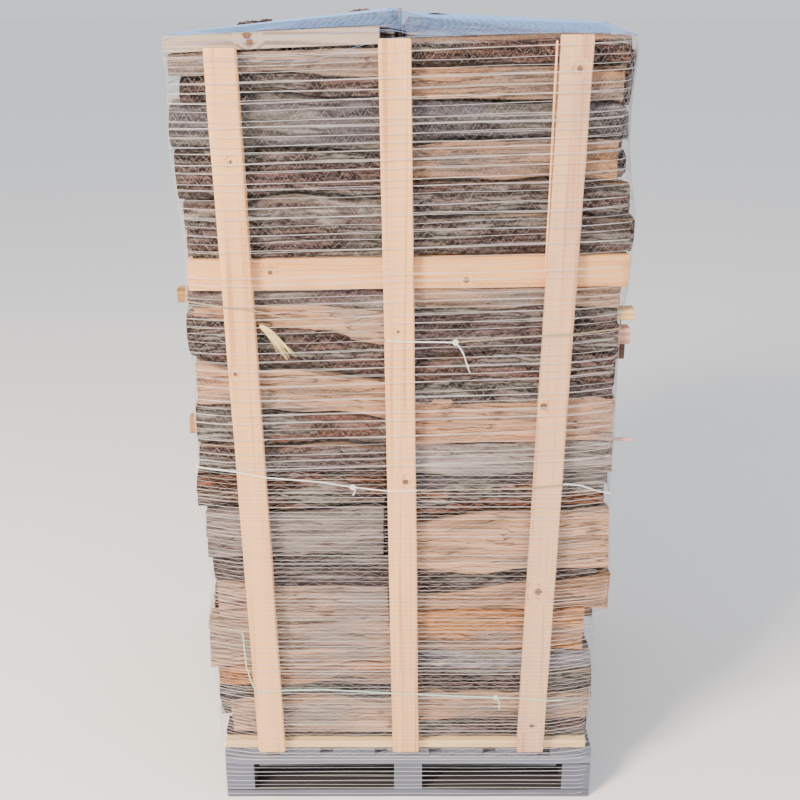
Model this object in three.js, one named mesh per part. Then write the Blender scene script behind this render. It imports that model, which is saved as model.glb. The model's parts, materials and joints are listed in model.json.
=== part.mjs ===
// A pallet load of split firewood: two piles of half-metre logs set end to end, held by
// sawn battens, twine and a net sleeve. Millimetres, +Z up. The logs lie along X and the
// front of the load looks towards -Y. The load is built about the pallet's centre line and
// shifted at the end, so that the origin is at the middle of the base of its bounding box.
import * as THREE from 'three';

// Pallet
const PALLET_W = 990;
const PALLET_D = 1000;
const SKID_W = 100; // front to back, each of the three
const BOTTOM_T = 24;
const BLOCK_W = 76; // left to right
const BLOCK_H = 85;
const STRINGER_T = 27;
const DECK_T = 23;
const DECK_BOARDS = 7;
const DECK_BOARD_W = 112;
const GAP = 0.4; // between pieces that touch

// Sawn timber
const LATH_T = 25;
const LATH_W = 48;
const BATTEN_W = 71;
const BATTEN_T = 22;
const BATTEN_FOOT = 163;
const PLANK_H = 74;
const PLANK_D = 46;

// Load
const FACE = 495; // distance from the middle to the front and back faces of the piles
const BATTEN_FACE = 520;
const PILE_FOOT = 188;
const LEFT_TIP = 527; // how far the hidden logs' ends reach
const RIGHT_TIP = 508;
const LOG_GAP = 1.5; // each log is drawn in by this much on every side

// Twine and net
const TWINE_R = 2;
const NET_T = 1.5;
const NET_LEFT = 537;
const NET_RIGHT = 518;
const NET_FRONT = 528;
const NET_FOOT = 114; // above the fork pockets, which stay open
const NET_RIM = 1998;
const CROWN_RISE = 45;

const WOOD = {
  split: new THREE.MeshStandardMaterial({ color: 0xcdb296, roughness: 0.85 }),
  bark: new THREE.MeshStandardMaterial({ color: 0x55463b, roughness: 0.95 }),
  sawn: new THREE.MeshStandardMaterial({ color: 0xe6c9a0, roughness: 0.75 }),
  pallet: new THREE.MeshStandardMaterial({ color: 0x9a9b9c, roughness: 0.9 }),
  pile: new THREE.MeshStandardMaterial({ color: 0x7d6a58, roughness: 0.95 }),
};
const WHITE_TWINE = new THREE.MeshStandardMaterial({ color: 0xeef0ee, roughness: 0.5 });
const GREEN_TWINE = new THREE.MeshStandardMaterial({ color: 0xb9dccb, roughness: 0.5 });
const NET = new THREE.MeshStandardMaterial({
  color: 0xe4edf5, roughness: 0.5, transparent: true, opacity: 0.45,
});

// Courses of the front column from the bottom up: the height of the top at the outer end
// and at the inner end, the face it shows, how far out its outer end reaches, and whether
// it is a solid of its own. The thin courses between them belong to the pile.
const LEFT = [
  [206, 205, 'bark', 492, false],
  [312, 312, 'split', 470, true],
  [354, 352, 'bark', 500, false],
  [420, 418, 'split', 500, true],
  [544, 543, 'split', 517, true],
  [664, 640, 'split', 490, true],
  [738, 736, 'bark', 495, false],
  [858, 862, 'split', 504, true],
  [958, 957, 'bark', 526, true],
  [1038, 1036, 'bark', 512, true],
  [1150, 1098, 'bark', 512, true],
  [1264, 1194, 'split', 505, true],
  [1374, 1312, 'bark', 517, true],
  [1382, 1370, 'split', 505, false],
  [1424, 1429, 'bark', 512, true],
  [1501, 1506, 'plank', 509, true],
  [1562, 1562, 'bark', 500, false],
  [1641, 1640, 'bark', 512, true],
  [1741, 1740, 'bark', 525, true],
  [1850, 1850, 'bark', 530, true],
  [1906, 1905, 'bark', 502, true],
  [1947, 1967, 'split', 525, true],
];
const RIGHT = [
  [243, 243, 'bark', 478, false],
  [326, 326, 'split', 476, true],
  [402, 402, 'bark', 483, true],
  [460, 459, 'bark', 475, true],
  [577, 576, 'split', 455, true],
  [686, 622, 'split', 512, true],
  [700, 700, 'bark', 480, false],
  [866, 832, 'split', 503, true],
  [941, 943, 'bark', 483, true],
  [968, 967, 'bark', 490, false],
  [1050, 1042, 'split', 493, true],
  [1169, 1156, 'split', 493, true],
  [1187, 1186, 'bark', 488, false],
  [1260, 1260, 'bark', 490, true],
  [1346, 1345, 'bark', 490, true],
  [1386, 1385, 'bark', 486, false],
  [1436, 1431, 'split', 488, true],
  [1510, 1506, 'plank', 503, true],
  [1601, 1600, 'bark', 509, true],
  [1681, 1680, 'bark', 496, true],
  [1768, 1766, 'split', 461, true],
  [1850, 1850, 'bark', 468, true],
  [1925, 1926, 'split', 465, true],
  [1990, 1976, 'bark', 475, true],
];

// Battens: middle at the foot and at the top, and the height of the top.
const FRONT_BATTENS = {
  left: [-365, -406, 1961],
  middle: [-7, -33, 1980],
  right: [326, 355, 1988],
};
const BACK_BATTENS = {
  left: [-352, -340, 1972],
  middle: [12, -4, 1984],
  right: [346, 334, 1966],
};

const load = new THREE.Group();

function add(name, geometry, material) {
  const mesh = new THREE.Mesh(geometry, material);
  mesh.name = name;
  load.add(mesh);
  return mesh;
}

// An even spread of numbers from -1 to 1 that is the same on every run.
const vary = (i, k) => Math.sin(i * 12.9898 + k * 78.233);

function triangles(points, faces) {
  const geometry = new THREE.BufferGeometry();
  geometry.setAttribute('position', new THREE.Float32BufferAttribute(points.flat(), 3));
  geometry.setIndex(faces.flat());
  let volume = 0;
  const at = (i) => new THREE.Vector3(...points[i]);
  for (const [a, b, c] of faces) volume += at(a).cross(at(b)).dot(at(c));
  if (volume < 0) geometry.setIndex(faces.map(([a, b, c]) => [a, c, b]).flat());
  geometry.computeVertexNormals();
  return geometry;
}

// A closed body through outlines of equal length, each a list of [x, y, z], with flat ends.
function loft(outlines) {
  const n = outlines[0].length;
  const faces = [];
  for (let s = 0; s + 1 < outlines.length; s += 1) {
    for (let i = 0; i < n; i += 1) {
      const j = (i + 1) % n;
      const [a, b, c, d] = [s * n + i, s * n + j, (s + 1) * n + j, (s + 1) * n + i];
      faces.push([a, b, c], [a, c, d]);
    }
  }
  const flat = outlines[0].map(([, y, z]) => new THREE.Vector2(y, z));
  const last = (outlines.length - 1) * n;
  for (const [a, b, c] of THREE.ShapeUtils.triangulateShape(flat, [])) {
    const same = THREE.ShapeUtils.isClockWise([flat[a], flat[b], flat[c]])
      === THREE.ShapeUtils.isClockWise(flat);
    const [p, q] = same ? [b, c] : [c, b];
    faces.push([a, q, p]);
    faces.push([last + a, last + p, last + q]);
  }
  return triangles(outlines.flat(), faces);
}

// A polygon in Y and Z with every side moved inwards.
function inset(polygon, distance) {
  let area = 0;
  polygon.forEach(([y, z], i) => {
    const [v, w] = polygon[(i + 1) % polygon.length];
    area += y * w - v * z;
  });
  const turn = Math.sign(area);
  const sides = polygon.map(([y, z], i) => {
    const [v, w] = polygon[(i + 1) % polygon.length];
    const length = Math.hypot(v - y, w - z);
    const normal = [(-turn * (w - z)) / length, (turn * (v - y)) / length];
    return { normal, offset: normal[0] * y + normal[1] * z + distance };
  });
  return polygon.map((_, i) => {
    const a = sides[(i + polygon.length - 1) % polygon.length];
    const b = sides[i];
    const det = a.normal[0] * b.normal[1] - a.normal[1] * b.normal[0];
    if (Math.abs(det) < 0.02) {
      return [polygon[i][0] + b.normal[0] * distance, polygon[i][1] + b.normal[1] * distance];
    }
    return [
      (a.offset * b.normal[1] - b.offset * a.normal[1]) / det,
      (b.offset * a.normal[0] - a.offset * b.normal[0]) / det,
    ];
  });
}

// Takes off a corner where round says so, by cutting each at a share of its two sides.
function ease(polygon, round) {
  return polygon.flatMap((p, i) => {
    if (!round[i]) return [p];
    const before = polygon[(i + polygon.length - 1) % polygon.length];
    const after = polygon[(i + 1) % polygon.length];
    const towards = (q) => [p[0] + (q[0] - p[0]) * 0.24, p[1] + (q[1] - p[1]) * 0.24];
    return [towards(before), towards(after)];
  });
}

function box(name, size, middle, material, turn = 0) {
  const mesh = add(name, new THREE.BoxGeometry(...size), material);
  mesh.position.set(...middle);
  mesh.rotation.y = turn;
  return mesh;
}

// Pallet: skids with two fork pockets each, and deck boards from front to back
function skid(name, y) {
  const outline = new THREE.Shape();
  const top = BOTTOM_T + BLOCK_H + STRINGER_T;
  outline.moveTo(-PALLET_W / 2, 0);
  outline.lineTo(PALLET_W / 2, 0);
  outline.lineTo(PALLET_W / 2, top);
  outline.lineTo(-PALLET_W / 2, top);
  for (const side of [-1, 1]) {
    const inner = (side * BLOCK_W) / 2;
    const outer = side * (PALLET_W / 2 - BLOCK_W);
    const foot = BOTTOM_T + (side > 0 ? 0 : 0.2);
    const head = BOTTOM_T + BLOCK_H - (side > 0 ? 0 : 0.2);
    const pocket = new THREE.Path();
    pocket.moveTo(inner, foot);
    pocket.lineTo(outer, foot);
    pocket.lineTo(outer, head);
    pocket.lineTo(inner, head);
    outline.holes.push(pocket);
  }
  const geometry = new THREE.ExtrudeGeometry(outline, { depth: SKID_W, bevelEnabled: false });
  const mesh = add(name, geometry, WOOD.pallet);
  mesh.rotation.x = Math.PI / 2;
  mesh.position.y = y + SKID_W / 2;
}
skid('pallet_skid_front', (SKID_W - PALLET_D) / 2);
skid('pallet_skid_middle', 0);
skid('pallet_skid_back', (PALLET_D - SKID_W) / 2);
const deckFoot = BOTTOM_T + BLOCK_H + STRINGER_T + GAP;
for (let i = 0; i < DECK_BOARDS; i += 1) {
  const pitch = (PALLET_W - DECK_BOARD_W) / (DECK_BOARDS - 1);
  const x = -(PALLET_W - DECK_BOARD_W) / 2 + i * pitch;
  box(
    `pallet_deck_${i + 1}`, [DECK_BOARD_W, PALLET_D, DECK_T],
    [x, 0, deckFoot + DECK_T / 2], WOOD.pallet,
  );
}

// Laths on the deck, under the two faces of the load
const lathZ = deckFoot + DECK_T + GAP + LATH_T / 2;
const lathY = FACE + 2 - LATH_W / 2;
box('lath_front', [970, LATH_W, LATH_T], [-7, -lathY, lathZ], WOOD.sawn);
box('lath_back', [970, LATH_W, LATH_T], [3, lathY, lathZ], WOOD.sawn);

// Battens
function batten(name, [foot, top, height], side) {
  const length = height - BATTEN_FOOT;
  box(
    name, [BATTEN_W, BATTEN_T, length],
    [(foot + top) / 2, side * (BATTEN_FACE - BATTEN_T / 2), (BATTEN_FOOT + height) / 2],
    WOOD.sawn, Math.atan2(top - foot, length),
  );
}
for (const [name, at] of Object.entries(FRONT_BATTENS)) batten(`batten_front_${name}`, at, -1);
for (const [name, at] of Object.entries(BACK_BATTENS)) batten(`batten_back_${name}`, at, 1);

// The long plank between the courses, rising to the right, and the one on the left pile
const plankFoot = { left: 1425.5, right: 1437 };
const plank = (x0, x1, z0, z1, height, depth, end) => loft([[x0, z0], [x1, z1]].map(([x, z]) => [
  [x, -FACE, z], [x, -FACE, z + height + end],
  [x, depth - FACE, z + height + end], [x, depth - FACE, z],
]));
add(
  'plank_long',
  plank(-509, 503, plankFoot.left, plankFoot.right, PLANK_H - 1, PLANK_D, 0), WOOD.sawn,
);
add('plank_top_left', plank(-531, -66, 1949, 1968.5, 35, 98, 0), WOOD.sawn);

// Front courses: the lines between them run from the face back into the pile, and lean
function courses(rows, number, outerX, innerX) {
  const foot = [PILE_FOOT, PILE_FOOT];
  const lines = [foot, ...rows].map(([outer, inner], i) => {
    const byPlank = [rows[i - 1], rows[i]].some((row) => row && row[2] === 'plank');
    return {
      height: (x) => outer + ((inner - outer) * (x - outerX)) / (innerX - outerX),
      depth: byPlank ? PLANK_D + 3 : 96 + 22 * vary(i, number),
      lean: byPlank || i === 0 || i === rows.length ? 0 : 13 * vary(i, number + 3),
    };
  });
  return rows.map(([, , face, tip, own], i) => {
    const [low, high] = [lines[i], lines[i + 1]];
    const deepest = Math.max(low.depth, high.depth) + (face === 'plank' ? 0 : 16);
    const hollow = face === 'bark' ? 15 : 5;
    const tilt = face === 'split' ? 5 * vary(i, number + 7) : 0;
    const front = (x) => {
      const [z0, z1] = [low.height(x), high.height(x)];
      return [
        [-FACE + hollow + tilt, z0], [-FACE + 2, z0 + (z1 - z0) * 0.34],
        [-FACE + 2, z0 + (z1 - z0) * 0.68], [-FACE + hollow - tilt, z1],
      ];
    };
    const back = (x) => {
      const [z0, z1] = [low.height(x) + low.lean, high.height(x) + high.lean];
      return [
        [-FACE + high.depth, z1], [-FACE + deepest, (z0 + z1) / 2], [-FACE + low.depth, z0],
      ];
    };
    return { face, tip, own, front, back };
  });
}

function frontLog(name, { face, front, back }, outerX, innerX) {
  const bark = face === 'bark';
  const outlines = [outerX, innerX].map((x) => {
    const [f, b] = [front(x), back(x)];
    const corners = bark ? [...f, ...b] : [f[0], f[3], ...b];
    const round = bark
      ? [true, true, true, true, false, false, false]
      : [false, false, true, true, true];
    return ease(inset(corners, LOG_GAP), round).map(([y, z]) => [x, y, z]);
  });
  add(name, loft(outlines), bark ? WOOD.bark : WOOD.split);
}

// The rest of a pile: behind the front logs it follows their backs, at the thin courses it
// comes forward to the face, and its top rises towards the middle of the load
function pile(name, rows, outerX, innerX, crown) {
  const outlines = [outerX, innerX].map((x, end) => {
    const front = rows.flatMap((course) => {
      const [f, b] = [course.front(x), course.back(x)];
      if (course.face === 'plank') return [b[2], b[0]];
      return course.own ? [b[2], b[1], b[0]] : [b[2], f[0], f[3], b[0]];
    });
    const line = front.filter((p, i) => {
      const q = front[i - 1];
      return !q || Math.hypot(p[0] - q[0], p[1] - q[1]) > 0.01;
    });
    const top = crown[end];
    const outline = [
      ...line, [-395, top[0]], [-380, top[1]], [-150, top[2]], [150, top[2]],
      [380, top[1]], [FACE, top[0]], [FACE, PILE_FOOT],
    ];
    return inset(outline.reverse(), LOG_GAP).map(([y, z]) => [x, y, z]);
  });
  add(name, loft(outlines), WOOD.pile);
}

const leftCourses = courses(LEFT, 1, -LEFT_TIP, -21);
const rightCourses = courses(RIGHT, 2, RIGHT_TIP, -13);
for (const [side, sign, rows] of [['left', -1, leftCourses], ['right', 1, rightCourses]]) {
  let number = 0;
  rows.forEach((course, i) => {
    if (course.face === 'plank' || !course.own) return;
    number += 1;
    const inner = sign < 0 ? -44 + 18 * vary(i, 5) : -5 + 8 * vary(i, 6);
    frontLog(`log_${side}_${String(number).padStart(2, '0')}`, course, sign * course.tip, inner);
  });
}
pile('pile_left', leftCourses, -LEFT_TIP, -21, [[1950, 1960, 1982], [1972, 2014, 2040]]);
pile('pile_right', rightCourses, RIGHT_TIP, -13, [[1990, 1992, 1996], [1990, 2014, 2040]]);

// Twine: a taut loop over the battens and the log ends, from its knot round to the knot
function rope(name, points, material) {
  const path = points.map((p) => new THREE.Vector3(...p));
  const sides = 6;
  const rings = [];
  let normal = new THREE.Vector3(0, 0, 1);
  path.forEach((p, i) => {
    const along = new THREE.Vector3();
    if (i > 0) along.add(p.clone().sub(path[i - 1]).normalize());
    if (i + 1 < path.length) along.add(path[i + 1].clone().sub(p).normalize());
    along.normalize();
    normal = normal.clone().addScaledVector(along, -normal.dot(along)).normalize();
    const across = new THREE.Vector3().crossVectors(along, normal);
    for (let k = 0; k < sides; k += 1) {
      const angle = (2 * Math.PI * k) / sides;
      const q = p.clone().addScaledVector(normal, TWINE_R * Math.cos(angle));
      q.addScaledVector(across, TWINE_R * Math.sin(angle));
      rings.push(q.toArray());
    }
  });
  const faces = [];
  for (let s = 0; s + 1 < path.length; s += 1) {
    for (let k = 0; k < sides; k += 1) {
      const l = (k + 1) % sides;
      const [a, b, c, d] = [s * 6 + k, s * 6 + l, s * 6 + 6 + l, s * 6 + 6 + k];
      faces.push([a, b, c], [a, c, d]);
    }
  }
  const last = (path.length - 1) * sides;
  for (let k = 1; k + 1 < sides; k += 1) {
    faces.push([0, k + 1, k], [last, last + k, last + k + 1]);
  }
  add(name, triangles(rings, faces), material);
}

const RUN = BATTEN_FACE + GAP + TWINE_R; // how far out the twine runs over the battens
const WEST = -LEFT_TIP - GAP - TWINE_R - 3;
const EAST = RIGHT_TIP + GAP + TWINE_R + 3;

// heights: at the knot, the right end of the front, the right and back right corners, the
// back left and left corners, and the left end of the front
function loop(name, knotX, heights, material) {
  const [knot, right, east, backEast, backWest, west, left] = heights;
  rope(name, [
    [knotX + 2, -RUN, knot], [395, -RUN, right], [EAST - 4, -RUN + 14, (right + east) / 2],
    [EAST, -RUN + 40, east], [EAST, RUN - 40, east], [EAST - 4, RUN - 14, backEast],
    [385, RUN, backEast], [-390, RUN, backWest], [WEST + 4, RUN - 14, backWest],
    [WEST, RUN - 40, west], [WEST, -RUN + 40, west], [WEST + 4, -RUN + 14, (left + west) / 2],
    [-442, -RUN, left], [knotX - 2, -RUN, knot],
  ], material);
}
loop('twine_upper', 107, [1311, 1330, 1338, 1352, 1384, 1402, 1396], WHITE_TWINE);
loop('twine_middle', -136, [943, 946, 918, 925, 948, 985, 983], WHITE_TWINE);
loop('twine_lower', 228, [332, 322, 316, 330, 388, 452, 346], GREEN_TWINE);

// Net: a sleeve round the load and over its crown, as a coarse lattice of straps
function roofZ(x, y) {
  const across = Math.max(0, 1 - (Math.abs(x + 30) / 520) ** 1.6);
  const deep = Math.max(0, 1 - (Math.abs(y) / NET_FRONT) ** 2.2);
  return NET_RIM + 9 * across + CROWN_RISE * across * deep;
}

// Points round a rectangle with cut corners: a strap, then an opening, then a strap
function ring(x0, x1, y0, y1, corner, z) {
  const corners = [[x0, y0], [x1, y0], [x1, y1], [x0, y1]];
  const points = [];
  corners.forEach(([x, y], i) => {
    const [u, v] = corners[(i + 1) % 4];
    const length = Math.hypot(u - x, v - y);
    const at = (s) => {
      const [px, py] = [x + ((u - x) * s) / length, y + ((v - y) * s) / length];
      points.push([px, py, z === null ? roofZ(px, py) : z]);
    };
    const count = 5;
    const pitch = (length - 2 * corner) / count;
    for (let k = 0; k < count; k += 1) {
      at(corner + k * pitch);
      at(corner + k * pitch + pitch * 0.06);
    }
    at(length - corner);
  });
  return points;
}

function sleeve(thickness) {
  const t = thickness;
  const rings = [];
  const level = (inwards, z) => rings.push(ring(
    -NET_LEFT + inwards + t, NET_RIGHT - inwards - t,
    -NET_FRONT + inwards + t, NET_FRONT - inwards - t, 16, z,
  ));
  const foot = (z) => rings.push(ring(
    -PALLET_W / 2 - 4 + t, PALLET_W / 2 + 4 - t,
    -PALLET_D / 2 - 4 + t, PALLET_D / 2 + 4 - t, 3, z,
  ));
  foot(NET_FOOT);
  foot(126);
  level(0, 158);
  level(0, 168);
  for (let k = 1; k <= 10; k += 1) {
    level(0, 198 + k * 179);
    level(0, 198 + k * 179 + 11);
  }
  for (const inwards of [150, 161, 310, 321, 460, 470]) level(inwards, null);
  return rings.map((points, i) => (
    i < rings.length - 6 ? points : points.map(([x, y, z]) => [x, y, z - t])
  ));
}

// Two skins with openings between the straps, joined along every free edge
function lattice(outer, inner) {
  const n = outer[0].length;
  const m = outer.length;
  const points = [...outer.flat(), ...inner.flat()];
  const skin = n * m;
  const kept = (s, k) => {
    if (s < 0 || s >= m - 1) return false;
    const place = ((k % n) + n) % n;
    return s % 2 === 0 || (place % 11) % 2 === 0;
  };
  const faces = [];
  const quad = (a, b, c, d) => faces.push([a, b, c], [a, c, d]);
  for (let s = 0; s < m - 1; s += 1) {
    for (let k = 0; k < n; k += 1) {
      if (!kept(s, k)) continue;
      const l = (k + 1) % n;
      const [a, b, c, d] = [s * n + k, s * n + l, (s + 1) * n + l, (s + 1) * n + k];
      quad(a, b, c, d);
      quad(d + skin, c + skin, b + skin, a + skin);
      if (!kept(s - 1, k)) quad(b, a, a + skin, b + skin);
      if (!kept(s + 1, k)) quad(d, c, c + skin, d + skin);
      if (!kept(s, k - 1)) quad(a, d, d + skin, a + skin);
      if (!kept(s, k + 1)) quad(c, b, b + skin, c + skin);
    }
  }
  return triangles(points, faces);
}
add('net_sleeve', lattice(sleeve(0), sleeve(NET_T)), NET);

const bounds = new THREE.Box3().setFromObject(load);
load.position.set(-(bounds.min.x + bounds.max.x) / 2, -(bounds.min.y + bounds.max.y) / 2, 0);
load.updateMatrixWorld(true);

export default load;
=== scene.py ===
"""A pallet load of split firewood, in its CAD frame: logs, sawn timber, pallet, twine and net.

Laid out as an add-on, with one operator for each group of pieces and a panel that lists them.
It is run as a script, which loads the frame and then calls the operators in order.
"""

import json
import math

import bmesh
import bpy
import numpy as np
from bpy.props import FloatProperty, FloatVectorProperty, IntProperty, PointerProperty
from bpy.props import StringProperty
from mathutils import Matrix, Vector
from mathutils.bvhtree import BVHTree

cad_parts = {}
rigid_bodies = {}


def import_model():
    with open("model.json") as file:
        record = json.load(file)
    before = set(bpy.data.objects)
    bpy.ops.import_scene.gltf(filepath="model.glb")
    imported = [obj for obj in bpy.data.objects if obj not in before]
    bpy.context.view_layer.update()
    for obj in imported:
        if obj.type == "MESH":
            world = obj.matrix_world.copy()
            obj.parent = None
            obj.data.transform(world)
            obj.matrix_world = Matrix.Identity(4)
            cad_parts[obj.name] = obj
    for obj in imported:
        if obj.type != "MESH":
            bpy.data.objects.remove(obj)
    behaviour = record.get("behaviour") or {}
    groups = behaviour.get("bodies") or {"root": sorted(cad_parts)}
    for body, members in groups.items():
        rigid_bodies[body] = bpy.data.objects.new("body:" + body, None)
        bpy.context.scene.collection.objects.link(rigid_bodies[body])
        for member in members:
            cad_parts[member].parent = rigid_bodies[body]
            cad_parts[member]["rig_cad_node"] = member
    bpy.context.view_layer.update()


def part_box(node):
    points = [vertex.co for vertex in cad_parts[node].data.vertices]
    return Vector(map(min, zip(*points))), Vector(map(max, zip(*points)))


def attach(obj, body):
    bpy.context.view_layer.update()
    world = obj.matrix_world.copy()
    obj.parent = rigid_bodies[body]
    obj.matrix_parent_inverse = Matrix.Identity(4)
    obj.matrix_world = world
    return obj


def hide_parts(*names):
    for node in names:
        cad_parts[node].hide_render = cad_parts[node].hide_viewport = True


bl_info = {
    "name": "Firewood load",
    "version": (1, 0, 0),
    "blender": (4, 5, 0),
    "location": "3D View > Sidebar > Firewood",
    "description": "Builds a net-wrapped pallet load of split firewood in its CAD frame",
    "category": "Object",
}

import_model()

# The face each front log shows and its colour: lightness, warmth (0 blue-grey, 0.5 pinkish,
# 1 orange or red-brown) and, on bark, smoothness (0 fissured oak, 1 smooth beech).
FRONT_LOGS = {
    "log_left_01": ("split", 0.60, 0.50, 0),
    "log_left_02": ("split", 0.62, 0.95, 0),
    "log_left_03": ("split", 0.66, 0.60, 0),
    "log_left_04": ("split", 0.56, 0.42, 0),
    "log_left_05": ("split", 0.42, 0.15, 0),
    "log_left_06": ("bark", 0.45, 0.90, 0.1),
    "log_left_07": ("bark", 0.35, 0.45, 0.2),
    "log_left_08": ("bark", 0.50, 0.75, 0.3),
    "log_left_09": ("split", 0.70, 0.66, 0),
    "log_left_10": ("bark", 0.32, 0.60, 0.1),
    "log_left_11": ("bark", 0.55, 0.35, 0.7),
    "log_left_12": ("bark", 0.50, 0.50, 0.4),
    "log_left_13": ("bark", 0.28, 0.55, 0.1),
    "log_left_14": ("bark", 0.38, 0.10, 0.5),
    "log_left_15": ("bark", 0.34, 0.55, 0.2),
    "log_left_16": ("split", 0.42, 0.35, 0),
    "log_right_01": ("split", 0.64, 0.55, 0),
    "log_right_02": ("bark", 0.28, 0.45, 0.1),
    "log_right_03": ("bark", 0.62, 0.05, 1.0),
    "log_right_04": ("split", 0.68, 0.95, 0),
    "log_right_05": ("split", 0.46, 0.66, 0),
    "log_right_06": ("split", 0.72, 0.60, 0),
    "log_right_07": ("bark", 0.55, 0.95, 0.1),
    "log_right_08": ("split", 0.62, 0.15, 0),
    "log_right_09": ("split", 0.72, 0.70, 0),
    "log_right_10": ("bark", 0.42, 0.65, 0.1),
    "log_right_11": ("bark", 0.42, 0.40, 0.2),
    "log_right_12": ("split", 0.46, 0.45, 0),
    "log_right_13": ("bark", 0.30, 0.50, 0.1),
    "log_right_14": ("bark", 0.30, 0.55, 0.2),
    "log_right_15": ("split", 0.40, 0.72, 0),
    "log_right_16": ("bark", 0.38, 0.08, 0.5),
    "log_right_17": ("split", 0.40, 0.72, 0),
    "log_right_18": ("bark", 0.34, 0.70, 0.1),
}
# The thin front courses: the piece below, the piece above, the face and colour, and how far
# out the end reaches from the middle of the load.
THIN_LOGS = {
    "thin_left_1": (None, "log_left_01", "bark", 0.50, 0.40, 0.3, 0.482),
    "thin_left_2": ("log_left_01", "log_left_02", "bark", 0.35, 0.10, 0.3, 0.490),
    "thin_left_3": ("log_left_04", "log_left_05", "bark", 0.35, 0.30, 0.3, 0.486),
    "thin_left_4": ("log_left_10", "log_left_11", "split", 0.72, 0.70, 0, 0.492),
    "thin_left_5": ("plank_long", "log_left_12", "bark", 0.30, 0.50, 0.1, 0.490),
    "thin_right_1": (None, "log_right_01", "bark", 0.38, 0.45, 0.2, 0.487),
    "thin_right_2": ("log_right_05", "log_right_06", "bark", 0.28, 0.50, 0.1, 0.489),
    "thin_right_3": ("log_right_07", "log_right_08", "bark", 0.38, 0.20, 0.4, 0.499),
    "thin_right_4": ("log_right_09", "log_right_10", "bark", 0.30, 0.40, 0.1, 0.497),
    "thin_right_5": ("log_right_11", "log_right_12", "bark", 0.28, 0.45, 0.1, 0.495),
}

# ------------------------------------------------------------------ materials

METRE = 1000  # in millimetres
# A mix of two colours: its settings, and the output that holds its result.
COLOURS = {"data_type": "RGBA", "out": 2}


def linear(colour):
    """A colour picked as sRGB hex, as the linear RGBA that sockets take."""
    parts = [int(colour[i : i + 2], 16) / 255 for i in (1, 3, 5)]
    return (*[c / 12.92 if c <= 0.04045 else ((c + 0.055) / 1.055) ** 2.4 for c in parts], 1.0)


def per_metre(*sizes):
    """What a place is multiplied by for a pattern whose marks are this many millimetres long
    on x, y and z."""
    return [METRE / size for size in sizes]


def add(tree, kind, links=None, out=0, stops=None, **settings):
    """Adds a node and gives one of its outputs, or all of them where out is None. links holds a
    value or another node's output for each input, by its label or its place in the list: a map
    range takes its value, its range and the new range as 0 to 4, and a mix of colours takes
    its share as 0 and the colours as 6 and 7."""
    node = tree.nodes.new(f"ShaderNode{kind}")
    for key, value in settings.items():
        setattr(node, key, value)
    if stops:
        elements = node.color_ramp.elements
        while len(elements) < len(stops):
            elements.new(0.5)
        for element, (place, colour) in zip(elements, stops):
            element.position = place
            element.color = linear(colour) if isinstance(colour, str) else (*[colour] * 3, 1)
    for key, value in (links or {}).items():
        socket = node.inputs[key]
        if isinstance(value, bpy.types.NodeSocket):
            tree.links.new(value, socket)
        else:
            socket.default_value = value
    return node.outputs if out is None else node.outputs[out]


def surface(name, **sockets):
    """A material with a Principled surface, its uniform values set on the shader itself."""
    material = bpy.data.materials.new(name)
    material.use_nodes = True
    tree = material.node_tree
    shader = tree.nodes["Principled BSDF"]
    for key, value in sockets.items():
        shader.inputs[key.replace("_", " ")].default_value = value
    return material, tree, shader


def finish_surface(tree, shader, colour, roughness, height, depth, strength=1.0):
    """Links the colour, the roughness and a bump of that depth in metres to the shader."""
    bump = add(tree, "Bump", {"Height": height, "Distance": depth, "Strength": strength})
    tree.links.new(colour, shader.inputs["Base Color"])
    tree.links.new(roughness, shader.inputs["Roughness"])
    tree.links.new(bump, shader.inputs["Normal"])


def tone_of(tree):
    """The piece's own lightness, warmth and smoothness, from its tone attribute."""
    tone = add(tree, "Attribute", out="Vector", attribute_name="tone")
    return add(tree, "SeparateXYZ", {0: tone}, None)


def pattern(tree, place, size, detail, **more):
    """A cloudy pattern from 0 to 1 whose marks have this size in millimetres on x, y and z."""
    turns = add(tree, "VectorMath", {0: place, 1: per_metre(*size)}, operation="MULTIPLY")
    return add(tree, "TexNoise", {"Vector": turns, "Scale": 1.0, "Detail": detail, **more})


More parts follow.
